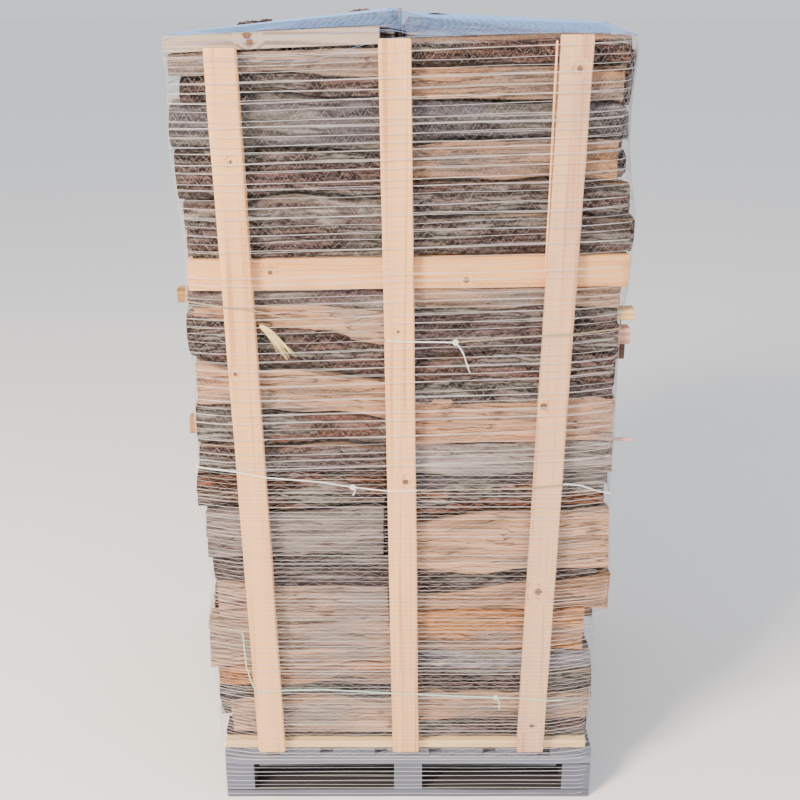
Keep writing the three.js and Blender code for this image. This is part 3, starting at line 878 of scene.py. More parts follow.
def hidden_logs(side, columns, dice, settings):
    """The logs behind the front ones: a packing of cells round the seeds, each cell drawn in a
    little and turned into a split or a round log. Returns a list of parts per column."""
    low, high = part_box(f"pile_{side}")
    seeds = hidden_seeds(side, columns, dice)
    fronts = fronts_of(side)
    parts = [[] for _ in range(columns)]
    way = -1 if side == "left" else 1
    reach = (-low[0], -high[0]) if side == "left" else (high[0], low[0])
    for index, (column, y, z, radius) in enumerate(seeds):
        cell = cell_of(index, seeds)
        if len(cell) < 3:
            continue
        cell = clipped(cell, np.array([1.0, 0.0]), high[1])
        cell = clipped(cell, np.array([0.0, -1.0]), -low[2])
        cell = cleared(cell, y, z, fronts, (reach[0] + reach[1]) / 2 * way)
        tops = [crown_height(side, y, x * way) for x in reach]
        if len(cell) < 3 or z - radius > min(tops) - 0.02:
            continue
        cell = clipped(cell, np.array([0.0, 1.0]), min(tops))
        if len(cell) < 3:
            continue
        for piece, cuts in split_up(cell, dice):
            part = hidden_part(piece, cuts, side, reach, tops, column, columns, dice, settings)
            if part:
                parts[column].append(part)
    return parts


def hidden_part(cell, cuts, side, reach, tops, column, columns, dice, settings):
    """One log behind the front ones, or nothing where the cell is only a sliver."""
    if len(cell) < 3:
        return None
    cell = merged_corners(shrunk(cell, 0.002))
    if len(cell) < 3 or np.ptp(cell[:, 0]) < 0.03 or np.ptp(cell[:, 1]) < 0.02:
        return None
    outer = reach[0] - abs(dice.normal(0, 0.014))
    if dice.uniform() < 0.2:
        outer -= dice.uniform(0.01, 0.04)
    inner = reach[1] + abs(dice.normal(0, 0.01))
    places = (-outer, -inner) if side == "left" else (inner, outer)
    top_log = cell[:, 1].max() > min(tops) - 0.012
    last = column == columns - 1 and cell[:, 0].max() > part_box(f"pile_{side}")[1][1] - 0.02
    middles = (cell + np.roll(cell, -1, axis=0)) / 2
    bark = [
        all(abs(normal @ middle - offset) > 0.004 for normal, offset in cuts)
        for middle in middles
    ]
    outline, kinds = cell, bark
    for _ in range(2):
        outline, kinds = softened(outline, kinds)
    ends = [outline.copy(), outline.copy()]
    if top_log:
        foot, tall = outline[:, 1].min(), np.ptp(outline[:, 1])
        grown = foot + (outline[:, 1] - foot) * (1 + (max(tops) - min(tops)) / tall)
        ends[1 if side == "left" else 0] = np.stack([outline[:, 0], grown], 1)
    pith = cell.mean(axis=0)
    if cuts:
        pith = cell[np.argmin([
            sum(abs(normal @ corner - offset) for normal, offset in cuts) for corner in cell
        ])]
    seen = last or top_log
    stations = settings.back_stations
    if not seen:
        steps = [0.0, 0.02, 0.07, 0.18, 0.5, 1.0]
        stations = steps if side == "left" else [1 - s for s in steps[::-1]]
    around = settings.back_around if seen else settings.hidden_around
    return log_part(ends, places, kinds, pith, random_tone(dice), dice, around, stations)


# ------------------------------------------------------------------ boards


def board_part(ends, places, axis, dice, steps, edge=0.0015, tone=(0.5, 0.5, 0.0), wave=0.0004):
    """A sawn board between two four-cornered outlines, with worn edges and a slight wave."""
    others = [i for i in range(3) if i != axis]
    rings = []
    eased = []
    for outline in ends:
        ring = []
        for i, corner in enumerate(outline):
            for other in (outline[i - 1], outline[(i + 1) % 4]):
                way = other - corner
                ring.append(corner + way / np.linalg.norm(way) * edge)
        eased.append(np.array(ring))
    t = np.concatenate([[0, 0.0015], np.linspace(0.02, 0.98, steps), [0.9985, 1]])
    for share in t:
        ring = eased[0] * (1 - share) + eased[1] * share
        centre = ring.mean(axis=0)
        if share in (0, 1):
            ring = centre + (ring - centre) * (1 - edge / np.abs(ring - centre).max())
        rings.append(ring)
    body = np.array(rings)
    place = places[0] + (places[1] - places[0]) * t
    corner = np.arange(8)[None, :] * 0.13
    outward = unit(body - body.mean(axis=1, keepdims=True))
    bump = waves(place[:, None], corner, dice, 0.25, 0.4, wave) - wave
    body = body + outward * bump[:, :, None]
    points = np.empty((len(t), 8, 3))
    points[:, :, axis] = place[:, None]
    points[:, :, others] = body
    faces = []
    for k in range(len(t) - 1):
        for i in range(8):
            j = (i + 1) % 8
            faces.append((k * 8 + i, k * 8 + j, (k + 1) * 8 + j, (k + 1) * 8 + i))
    faces.append(tuple(range(7, -1, -1)))
    faces.append(tuple((len(t) - 1) * 8 + i for i in range(8)))
    if axis == 1:
        faces = [face[::-1] for face in faces]
    flat = points.reshape(-1, 3)
    return {"points": flat, "faces": faces, "slots": [0] * len(faces), "tone": tone}


def board_between(low, high, axis, dice, steps=14, **more):
    """A board that fills a box."""
    others = [i for i in range(3) if i != axis]
    (a, b), (c, d) = [(low[i], high[i]) for i in others]
    outline = np.array([[a, c], [b, c], [b, d], [a, d]])
    return board_part([outline, outline], (low[axis], high[axis]), axis, dice, steps, **more)


# ------------------------------------------------------------------ wrapping

# Heights on the net: its lowest rib, the first of its ties, and its last rib. A rib and a tie
# are laid this far outside the taut outline. A real net's chains are thinner and closer than
# this; they are drawn as coarse as they need to be to show.
NET_FOOT, NET_TIES, NET_TOP = 0.014, 0.14, 1.972
RIB_OUT, TIE_OUT = 0.0035, 0.003
RIB_POINTS, TIE_POINTS = 96, 170


class Wrap:
    """The taut outline of the load at every height, as a net or a twine feels it."""

    COUNT = 720  # points round each outline

    def __init__(self, points, low, high, step=0.02, sides=72):
        self.levels = np.arange(low, high + step, step)
        angle = np.arange(sides) * 2 * math.pi / sides - math.pi * 0.75
        self.ways = np.stack([np.cos(angle), np.sin(angle)], axis=1)
        reach = np.full((len(self.levels), sides), -1.0)
        for k, z in enumerate(self.levels):
            near = points[abs(points[:, 2] - z) < step * 0.9]
            if len(near):
                reach[k] = (near[:, :2] @ self.ways.T).max(axis=0)
        for k in range(len(reach)):
            if reach[k, 0] < 0:
                reach[k] = reach[k - 1] if k else reach[reach[:, 0] > 0][0]
        for _ in range(5):
            bridged = reach.copy()
            bridged[1:-1] = np.maximum(reach[1:-1], (reach[:-2] + reach[2:]) / 2)
            reach = bridged
        after = np.roll(self.ways, -1, axis=0)
        det = self.ways[:, 0] * after[:, 1] - self.ways[:, 1] * after[:, 0]
        self.rings = np.empty((len(self.levels), self.COUNT, 2))
        for k in range(len(reach)):
            h, g = reach[k], np.roll(reach[k], -1)
            ring = np.stack([
                (h * after[:, 1] - g * self.ways[:, 1]) / det,
                (g * self.ways[:, 0] - h * after[:, 0]) / det], 1)
            gaps = np.linalg.norm(np.roll(ring, -1, axis=0) - ring, axis=1)
            length = np.concatenate([[0], np.cumsum(gaps)])
            closed = np.concatenate([ring, ring[:1]])
            even = np.linspace(0, length[-1], self.COUNT, endpoint=False)
            for i in (0, 1):
                self.rings[k, :, i] = np.interp(even, length, closed[:, i])
        way = unit(np.roll(self.rings, -1, axis=1) - np.roll(self.rings, 1, axis=1))
        self.normals = np.stack([way[:, :, 1], -way[:, :, 0]], axis=2)

    def at(self, u, z, out=0.0):
        """Points at shares u of the way round and at heights z, moved out from the load."""
        u, z = np.broadcast_arrays(np.asarray(u, float), np.asarray(z, float))
        level = (z - self.levels[0]) / (self.levels[1] - self.levels[0])
        level = np.clip(level, 0, len(self.levels) - 1.001)
        place = (u % 1.0) * self.COUNT
        k, i = level.astype(int), place.astype(int)
        b, a = (level - k)[:, None], (place - i)[:, None]
        i, j = i % self.COUNT, (i + 1) % self.COUNT
        flat = 0
        for row, share in ((k, 1 - b), (k + 1, b)):
            for column, part in ((i, 1 - a), (j, a)):
                spot = self.rings[row, column] + self.normals[row, column] * out
                flat = flat + spot * share * part
        return np.column_stack([flat, np.clip(z, self.levels[0], self.levels[-1])])

    def share_at(self, side, value, z):
        """The share of the way round of a place on the front, right, back or left."""
        ring = self.at(np.arange(self.COUNT) / self.COUNT, z)
        axis, sign = {"front": (1, -1), "right": (0, 1), "back": (1, 1), "left": (0, -1)}[side]
        gap = abs(ring[:, 1 - axis] - value) + np.where(ring[:, axis] * sign > 0.38, 0, 10)
        return int(np.argmin(gap)) / self.COUNT


def square_to(along):
    """Two directions square to a path and to each other, at each of its points."""
    up = np.array([0, 0, 1.0]) + 0 * along
    up[abs(along[:, 2]) > 0.85] = (1.0, 0.0, 0.0)
    side = unit(np.cross(along, up))
    return side, np.cross(side, along)


def tube(path, radius, sides, closed):
    """A tube of few sides along a path, as a part."""
    n = len(path)
    ahead = np.roll(path, -1, axis=0) - path
    behind = path - np.roll(path, 1, axis=0)
    if not closed:
        ahead[-1], behind[0] = behind[-1], ahead[0]
    side, up = square_to(unit(unit(ahead) + unit(behind)))
    angle = (np.arange(sides) * 2 * math.pi / sides)[None, :, None]
    ring = side[:, None] * np.cos(angle) + up[:, None] * np.sin(angle)
    radius = np.broadcast_to(radius, (n,))[:, None, None]
    points = (path[:, None] + ring * radius).reshape(-1, 3)
    k = np.arange(n if closed else n - 1)[:, None]
    i = np.arange(sides)[None, :]
    j = (i + 1) % sides
    m = (k + 1) % n
    faces = np.stack([k * sides + i, k * sides + j, m * sides + j, m * sides + i], 2)
    faces = [tuple(f) for f in faces.reshape(-1, 4).tolist()]
    if not closed:
        faces.append(tuple(range(sides - 1, -1, -1)))
        faces.append(tuple((n - 1) * sides + i for i in range(sides)))
    faces = [face[::-1] for face in faces]
    return {"points": points, "faces": faces, "slots": [0] * len(faces)}


def threads(name, paths, radius, material, sides=3):
    """One object of many thin tubes; each path is its points and whether it is closed."""
    parts = [tube(path, radius, sides, closed) for path, closed in paths]
    return make_object(name, parts, [material], sharp=180)


def all_points(names):
    """The corners of all these pieces' meshes."""
    found = []
    for name in names:
        mesh = bpy.data.objects[name].data
        points = np.empty(len(mesh.vertices) * 3)
        mesh.vertices.foreach_get("co", points)
        found.append(points.reshape(-1, 3))
    return np.concatenate(found)


def wrapped_names():
    """The pieces that the net and the twine are wound round."""
    return [
        o.name for o in bpy.data.objects
        if o.type == "MESH" and "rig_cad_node" not in o and o.name.startswith(
            ("log_", "thin_", "pile_", "batten_", "plank_", "pallet_", "lath_"))
    ]


# ------------------------------------------------------------------ settings


class LogSettings(bpy.types.PropertyGroup):
    """How finely the logs are made, and how many there are"""

    front_around: IntProperty(
        name="Points round a front log", description="Fineness of the front logs' sections",
        default=38,
    )
    front_stations: IntProperty(
        name="Stations on a front log", description="Sections along each front log",
        default=40,
    )
    back_around: IntProperty(
        name="Points round a back log", description="Fineness of the back and crown logs",
        default=24,
    )
    back_stations: IntProperty(
        name="Stations on a back log", description="Sections along each back and crown log",
        default=18,
    )
    hidden_around: IntProperty(
        name="Points round a hidden log", description="Fineness of the logs that show an end",
        default=20,
    )
    columns: IntProperty(
        name="Columns", description="Columns of logs behind the front one", default=6
    )
    seed: IntProperty(name="Seed", description="Picks the pile's random shapes", default=11)


class TimberSettings(bpy.types.PropertyGroup):
    """The colours of the sawn timber and the pallet"""

    batten_pale: StringProperty(
        name="Batten colour", description="Sawn spruce, sRGB hex", default="#f4bb80"
    )
    batten_dark: StringProperty(
        name="Grain colour", description="Its late wood, sRGB hex", default="#d6945a"
    )
    plank_pale: StringProperty(
        name="Plank colour", description="The long plank and the laths, sRGB hex",
        default="#f0b373",
    )
    grey_pale: StringProperty(
        name="Top plank colour", description="The weathered plank, sRGB hex", default="#b9a48e"
    )
    pallet_pale: StringProperty(
        name="Pallet colour", description="Weathered pallet boards, sRGB hex",
        default="#5a5f6d",
    )


class TwineSettings(bpy.types.PropertyGroup):
    """The twine's thickness and colours"""

    radius: FloatProperty(
        name="Twine radius", description="Half the twine's thickness", default=0.0019,
        unit="LENGTH",
    )
    white: StringProperty(name="White twine", description="sRGB hex", default="#f4f6f4")
    natural: StringProperty(
        name="Natural twine", description="Undyed fibre, sRGB hex", default="#9c8f74"
    )
    green: StringProperty(name="Green twine", description="sRGB hex", default="#b7e2d2")


class NetSettings(bpy.types.PropertyGroup):
    """The net's threads, its mesh and its colours"""

    yarn: FloatProperty(
        name="Rib radius", description="Half a chain's thickness", default=0.00045,
        unit="LENGTH",
    )
    tie: FloatProperty(
        name="Tie radius", description="Half the thickness of the threads between ribs",
        default=0.0002, unit="LENGTH",
    )
    lower_pitch: FloatProperty(
        name="Lower pitch", description="Height between ribs on the lower half", default=0.0125,
        unit="LENGTH",
    )
    upper_pitch: FloatProperty(
        name="Upper pitch", description="Height between ribs on the upper half",
        default=0.0205, unit="LENGTH",
    )
    crown_pitch: FloatProperty(
        name="Crown pitch", description="Distance between the threads over the top",
        default=0.016, unit="LENGTH",
    )
    change: FloatProperty(
        name="Change height", description="Where the wider ribs begin", default=1.0,
        unit="LENGTH",
    )
    colour: StringProperty(name="Net colour", description="sRGB hex", default="#e0dfe2")
    # The crown's threads are painted sky blue: painted sky reflection on the net where it faces up.
    # The net itself is whitish.
    painted_sky_reflection: StringProperty(
        name="Bunched colour", description="Where layers lie on each other, sRGB hex",
        default="#79b2f8",
    )


class StageSettings(bpy.types.PropertyGroup):
    """The floor and the camera"""

    floor: StringProperty(name="Floor colour", description="sRGB hex", default="#f3f2f0")
    place: FloatVectorProperty(
        name="Camera", description="Where the camera stands", default=(-0.0125, -2.943, 2.05),
        unit="LENGTH",
    )
    pitch: FloatProperty(
        name="Pitch", description="How far the camera looks down",
        default=math.radians(20), unit="ROTATION",
    )
    lens: FloatProperty(
        name="Lens", description="Focal length on a 36 mm sensor, in millimetres",
        default=49.05,
    )


SETTINGS = {
    "fire_logs": LogSettings,
    "fire_timber": TimberSettings,
    "fire_twine": TwineSettings,
    "fire_net": NetSettings,
    "fire_stage": StageSettings,
}


def kept(name, make):
    """The material of this name, made once."""
    return bpy.data.materials.get(name) or make()


def log_materials():
    """Bark, split face and sawn end, in the order of a log's material numbers."""
    return [
        kept("weathered_bark", bark_material), kept("split_hardwood", split_material),
        kept("chainsawn_end_grain", end_material),
    ]


# ------------------------------------------------------------------ operators


class FIRE_OT_front_logs(bpy.types.Operator):
    """The front logs of both piles, each in place of its CAD solid, and the thin ones"""

    bl_idname = "fire.front_logs"
    bl_label = "Front logs"

    def execute(self, context):
        settings = context.scene.fire_logs
        materials = log_materials()
        for number, name in enumerate(FRONT_LOGS):
            dice = np.random.default_rng(settings.seed * 1000 + number)
            part = front_part(name, dice, settings.front_around, settings.front_stations)
            piece = make_object(f"{name}_shape", [part], materials)
            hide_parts(name)
        for number, name in enumerate(THIN_LOGS):
            dice = np.random.default_rng(settings.seed * 1000 + 500 + number)
            part = thin_part(name, dice, 22, 30)
            piece = make_object(name, [part], materials)
            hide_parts("pile_left" if "left" in name else "pile_right")
        return {"FINISHED"}


class FIRE_OT_hidden_logs(bpy.types.Operator):
    """The logs behind the front ones and on top, one object for each column"""

    bl_idname = "fire.hidden_logs"
    bl_label = "Hidden, back and crown logs"

    def execute(self, context):
        settings = context.scene.fire_logs
        materials = log_materials()
        for number, side in enumerate(("left", "right")):
            dice = np.random.default_rng(settings.seed + number)
            for column, parts in enumerate(hidden_logs(side, settings.columns, dice, settings)):
                piece = make_object(f"pile_{side}_column_{column + 1}", parts, materials)
                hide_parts(f"pile_{side}")
        return {"FINISHED"}


class FIRE_OT_timber(bpy.types.Operator):
    """The battens, planks and laths of rough-sawn softwood"""

    bl_idname = "fire.timber"
    bl_label = "Sawn timber"

    def execute(self, context):
        settings = context.scene.fire_timber
        self.battens(settings)
        self.sliver(settings)
        self.boards(settings)
        return {"FINISHED"}

    def battens(self, settings):
        """Three upright battens in front and three behind; the right ones are weathered."""
        # The front battens' knots: x, z and radius.
        knots = {
            "batten_front_right": [(0.371, 1.919, 0.006), (0.328, 1.152, 0.008),
                                   (0.337, 0.652, 0.009), (0.337, 0.248, 0.006)],
            "batten_front_middle": [(0.001, 0.956, 0.007), (-0.0175, 1.336, 0.0035)],
            "batten_front_left": [(-0.399, 1.232, 0.005), (-0.384, 1.723, 0.004)],
        }
        for number, (side, place) in enumerate(
            (s, p) for s in ("front", "back") for p in ("left", "middle", "right")
        ):
            name = f"batten_{side}_{place}"
            dice = np.random.default_rng(70 + number)
            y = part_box(name)[0 if side == "front" else 1][1]
            spots = [(x, y, z, r) for x, z, r in knots.get(name, [])]
            if side == "back":
                middle = (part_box(name)[0][0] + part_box(name)[1][0]) / 2
                spots = [(middle + dice.uniform(-0.02, 0.02), y, z, 0.007)
                         for z in (0.41, 0.93, 1.52)]
            material = sawn_material(
                name, 2, spots, settings.batten_pale, settings.batten_dark,
                0.34 if place == "right" else 0.0,
            )
            ends = ends_of(name, 2)
            part = board_part(
                [o for _, o in ends], [p for p, _ in ends], 2, dice, 40, edge=0.0022
            )
            piece = make_object(f"{name}_board", [part], [material])
            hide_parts(name)
    def sliver(self, settings):
        """The inner edge of the right front batten, split off along its upper part."""
        (z0, first), (z1, last) = ends_of("batten_front_right", 2)
        outlines, heights = [], (1.47, z1 - 0.012)
        for z, away in zip(heights, (0.0045, 0.0105)):
            share = (z - z0) / (z1 - z0)
            x, y = (first * (1 - share) + last * share).min(axis=0)
            outlines.append(np.array([[x - away, y + 0.002], [x - away + 0.005, y + 0.002],
                                      [x - away + 0.005, y + 0.011], [x - away, y + 0.011]]))
        part = board_part(outlines, heights, 2, np.random.default_rng(76), 40)
        piece = make_object(
            "batten_sliver", [part],
            [sawn_material("sliver", 2, [], settings.batten_pale, settings.batten_dark)],
        )

    def boards(self, settings):
        """The planks and laths that lie along x."""
        # Each board's colours, how grey it has weathered, and its knots: x, z and radius.
        planks = {
            "plank_long": (settings.plank_pale, settings.batten_dark, 0.0,
                           [(0.14, 1.452, 0.007), (-0.31, 1.47, 0.005)]),
            "plank_top_left": (settings.grey_pale, "#6f5845", 0.22,
                               [(-0.339, 1.986, 0.008), (-0.334, 1.974, 0.007)]),
            "lath_front": ("#f0cd92", "#d2a970", 0.0, []),
            "lath_back": ("#f0cd92", "#d2a970", 0.0, []),
        }
        for number, (name, (pale, dark, grey, spots)) in enumerate(planks.items()):
            dice = np.random.default_rng(90 + number)
            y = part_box(name)[0][1]
            material = sawn_material(
                name, 0, [(x, y, z, r) for x, z, r in spots], pale, dark, grey
            )
            ends = ends_of(name, 0)
            part = board_part([o for _, o in ends], [p for p, _ in ends], 0, dice, 40)
            piece = make_object(f"{name}_board", [part], [material])
            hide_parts(name)


class FIRE_OT_pallet(bpy.types.Operator):
    """The pallet: bottom boards, blocks, stringers and deck boards of weathered softwood"""

    bl_idname = "fire.pallet"
    bl_label = "Pallet"

    def execute(self, context):
        settings = context.scene.fire_timber
        stringer = sawn_material(
            "pallet_long", 0, [], "#7b8191", "#51535d", 0.3
        )
        # The foot boards and blocks get painted shade on their faces that look up or inwards.
        foot = sawn_material(
            "pallet_foot", 0, [], settings.pallet_pale, "#3f3f46", 0.4, painted_pocket_shade=True
        )
        across = sawn_material(
            "pallet_across", 1, [], settings.pallet_pale, "#393940", 0.3
        )
        dice = np.random.default_rng(40)
        half = 0.038  # of a block's length
        for name in ("pallet_skid_front", "pallet_skid_middle", "pallet_skid_back"):
            low, high = (np.array(p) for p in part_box(name))
            # The foot's top, the blocks' foot and top, and the stringer's underside.
            foot_top, block_low, block_top, stringer_low = 0.0238, 0.0242, 0.1088, 0.1092
            parts = [board_between(low, (high[0], high[1], foot_top), 0, dice)]
            for centre in (low[0] + half, (low[0] + high[0]) / 2, high[0] - half):
                parts.append(board_between(
                    (centre - half, low[1], block_low), (centre + half, high[1], block_top),
                    0, dice, 3,
                ))
            parts.append(board_between((low[0], low[1], stringer_low), high, 0, dice))
            parts[-1]["slots"] = [1] * len(parts[-1]["faces"])
            piece = make_object(f"{name}_boards", parts, [foot, stringer])
            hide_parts(name)
        for i in range(1, 8):
            low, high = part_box(f"pallet_deck_{i}")
            part = board_between(low, high, 1, dice)
            piece = make_object(f"pallet_deck_{i}_board", [part], [across])
            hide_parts(f"pallet_deck_{i}")
        return {"FINISHED"}


def twine_route(wrap, knots, out, step=0.0035):
    """Points along a loop through places on the load's four sides, as (side, x or y, z)."""
    marks = sorted((wrap.share_at(side, value, z), z) for side, value, z in knots)
    turns = np.array([mark[0] for mark in marks])
    heights = np.array([mark[1] for mark in marks])
    u = np.linspace(0, 1, 6000)
    z = np.interp(u, np.concatenate([turns - 1, turns, turns + 1]), np.tile(heights, 3))
    path = wrap.at(u, z, out)
    length = np.concatenate([[0], np.cumsum(np.linalg.norm(np.diff(path, axis=0), axis=1))])
    even = np.linspace(0, length[-1], int(length[-1] / step), endpoint=False)
    return np.stack([np.interp(even, length, path[:, i]) for i in range(3)], axis=1)


def plied(path, radius, pitch, closed, sides=5):
    """Two plies twisted round each other along a path, as parts."""
    ahead = np.roll(path, -1, axis=0) - np.roll(path, 1, axis=0)
    if not closed:
        ahead[0], ahead[-1] = path[1] - path[0], path[-1] - path[-2]
    gaps = np.linalg.norm(np.roll(path, -1, axis=0) - path, axis=1)
    if not closed:
        gaps[-1] = 0
    along = np.concatenate([[0], np.cumsum(gaps)[:-1]])
    total = gaps.sum()
    turns = max(1, round(total / pitch)) if closed else total / pitch
    side, up = square_to(unit(ahead))
    parts = []
    for ply in (0, math.pi):
        turn = (along / total * turns * 2 * math.pi + ply)[:, None]
        spiral = path + (side * np.cos(turn) + up * np.sin(turn)) * radius * 0.5
        parts.append(tube(spiral, radius * 0.56, sides, closed))
    return parts


# Each loop: its places as (side, x or y, z), its knot and the tip of the knot's tail as (x, z),
# and the front stretch of it that is its first cord, from x to x; the rest is its second cord.
LOOPS = {
    "twine_upper": (
        [("front", -0.435, 1.397), ("front", -0.350, 1.388), ("front", -0.030, 1.313),
         ("front", 0.116, 1.311), ("front", 0.188, 1.318), ("front", 0.318, 1.327),
         ("front", 0.395, 1.331), ("right", -0.45, 1.338), ("right", 0.45, 1.352),
         ("back", 0.38, 1.358), ("back", -0.38, 1.384), ("left", 0.45, 1.396),
         ("left", -0.45, 1.404)],
        [(0.1175, 1.311), (0.1575, 1.237)], (-0.045, 0.1175), ("white", "natural"),
    ),
    "twine_middle": (
        [("front", -0.412, 0.983), ("front", -0.335, 0.968), ("front", -0.210, 0.957),
         ("front", -0.127, 0.943), ("front", -0.041, 0.932), ("front", 0.309, 0.940),
         ("front", 0.393, 0.950), ("front", 0.430, 0.944), ("front", 0.466, 0.926),
         ("right", -0.47, 0.905),
         ("right", 0.45, 0.925), ("back", 0.38, 0.93), ("back", -0.38, 0.952),
         ("left", 0.45, 0.968), ("left", -0.45, 0.985)],
        [(-0.1275, 0.943), (-0.122, 0.922)], (0.030, 0.385), ("natural", "white"),
    ),
    "twine_lower": (
        [("front", -0.4185, 0.530), ("front", -0.4115, 0.428), ("front", -0.4080, 0.412),
         ("front", -0.394, 0.364), ("front", -0.381, 0.354), ("front", -0.312, 0.360),
         ("front", -0.212, 0.363), ("front", -0.012, 0.350), ("front", 0.140, 0.342),
         ("front", 0.318, 0.335), ("front", 0.378, 0.328), ("right", -0.45, 0.316),
         ("right", 0.45, 0.330), ("back", 0.38, 0.345), ("back", -0.38, 0.41),
         ("left", 0.45, 0.47), ("left", -0.44, 0.53)],
        [(0.2375, 0.339), (0.2525, 0.304)], (-0.4180, 0.42), ("green", "natural"),
    ),
}


def knot_parts(near, reach, radius):
    """A small overhand knot at a place, with two tails that hang towards an offset in x, z."""
    turn = np.linspace(0, 1, 40)
    parts = []
    for size, squeeze, tilt in ((2.3, 0.9, 0.5), (2.0, 1.1, -0.7), (1.5, 1.0, 1.4)):
        a = turn[:-1] * 2 * math.pi
        path = near + np.stack([
            np.cos(a) * radius * size * 1.3, -radius * (0.5 + 0.5 * np.sin(a + tilt)),
            np.sin(a) * radius * size * squeeze * 1.5], 1)
        parts.append(tube(path, radius * 0.8, 5, True))
    for offset, length in ((0.0, 1.0), (0.004, 0.8)):
        path = np.stack([
            near[0] + reach[0] * turn * length + 0.004 * np.sin(turn * 5) + offset * turn,
            near[1] - radius * 1.6 + 0.001 * np.sin(turn * 9 + offset * 500),
            near[2] + reach[1] * turn * length], 1)
        parts += plied(path, radius * 0.7, 0.011, False)
    return parts


class FIRE_OT_twine(bpy.types.Operator):
    """Three taut loops of two-ply baler twine, with their knots and tails"""

    bl_idname = "fire.twine"
    bl_label = "Twine"

    def execute(self, context):
        settings = context.scene.fire_twine
        radius = settings.radius
        cords = {
            kind: plastic_material(f"twine_{kind}", getattr(settings, kind), 0.45, 0.3)
            for kind in ("white", "natural", "green")
        }
        wrap = Wrap(all_points(wrapped_names()), 0.2, 1.9)
        for name, (places, (knot, tip), ends, kinds) in LOOPS.items():
            path = twine_route(wrap, places, radius * 1.25)
            front = np.where(path[:, 1] > 0, 9, 0)
            start, stop = [int(np.argmin(abs(path[:, 0] - x) + front)) for x in ends]
            stretches = [path[start : stop + 1], np.concatenate([path[stop:], path[: start + 1]])]
            parts = [plied(stretch, radius, 0.013, False) for stretch in stretches]
            near = path[np.argmin(np.hypot(path[:, 0] - knot[0], path[:, 2] - knot[1]) + front)]
            whole = kinds.index("natural") ^ 1 if "natural" in kinds else 0
            parts[whole] += knot_parts(near, (tip[0] - knot[0], tip[1] - knot[1]), radius)
            for number, kind in enumerate(kinds):
                piece = make_object(f"{name}_cord_{number + 1}", parts[number], [cords[kind]], 60)
                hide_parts(name)
        return {"FINISHED"}


class FIRE_OT_splinter(bpy.types.Operator):
    """A frayed splinter of pale wood caught behind the net"""

    bl_idname = "fire.splinter"
    bl_label = "Splinter"

    def execute(self, context):
        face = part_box("batten_front_middle")[0][1]
        dice = np.random.default_rng(5)
        steps, fibres, thick_fibres = 16, 26, 22
        root, run = (-0.3375, 1.347), (0.065, -0.072)  # on x and z
        t = np.linspace(0, 1, steps)
        parts = []
        for k in range(fibres):
            side = dice.uniform(-1, 1)
            length = dice.uniform(0.7, 1.05)
            across = side * (0.0032 + 0.0115 * t**0.8)
            path = np.stack([
                root[0] + run[0] * t * length + across * 0.7,
                face + 0.012 - 0.008 * t + dice.normal(0, 0.0012) * np.sin(t * 3),
                root[1] + run[1] * t * length + across * 0.7 + 0.007 * np.sin(t * math.pi),
            ], 1) + dice.normal(0, 0.0004, (steps, 3))
            if k >= thick_fibres:
                path[:, 0] += 0.016 * t**2
            thick = (0.0011 if k < thick_fibres else 0.0006) * (1 - 0.8 * t) + 0.00025
            parts.append(tube(path, thick, 4, False))
        material = sawn_material("splinter", 0, [], "#f3e0a0", "#dfc079")
        piece = make_object("splinter", parts, [material], sharp=60)
        return {"FINISHED"}


def rib(wrap, z, slope, out, dice, count, wander):
    """A closed loop of knitted chain: it rises to the right in front and wanders a little."""
    u = np.arange(count) / count
    heights = z + slope * wrap.at(u, z)[:, 0]
    for _ in range(4):
        turns = int(dice.integers(1, 12))
        heights = heights + wander / 2 * np.sin(
            2 * math.pi * (turns * u + dice.uniform())
        )
    return wrap.at(u, heights, out)


def zigzag(wrap, z, slope, out, dice, count, height):
    """A closed loop of loose thread that runs up and down between two ribs."""
    u = (np.arange(count) + dice.uniform(-0.38, 0.38, count)) / count
    swing = np.where(np.arange(count) % 2, 0.5, -0.5) * height * dice.uniform(0.75, 1.15, count)
    return wrap.at(u, z + slope * wrap.at(u, z)[:, 0] + swing, out)


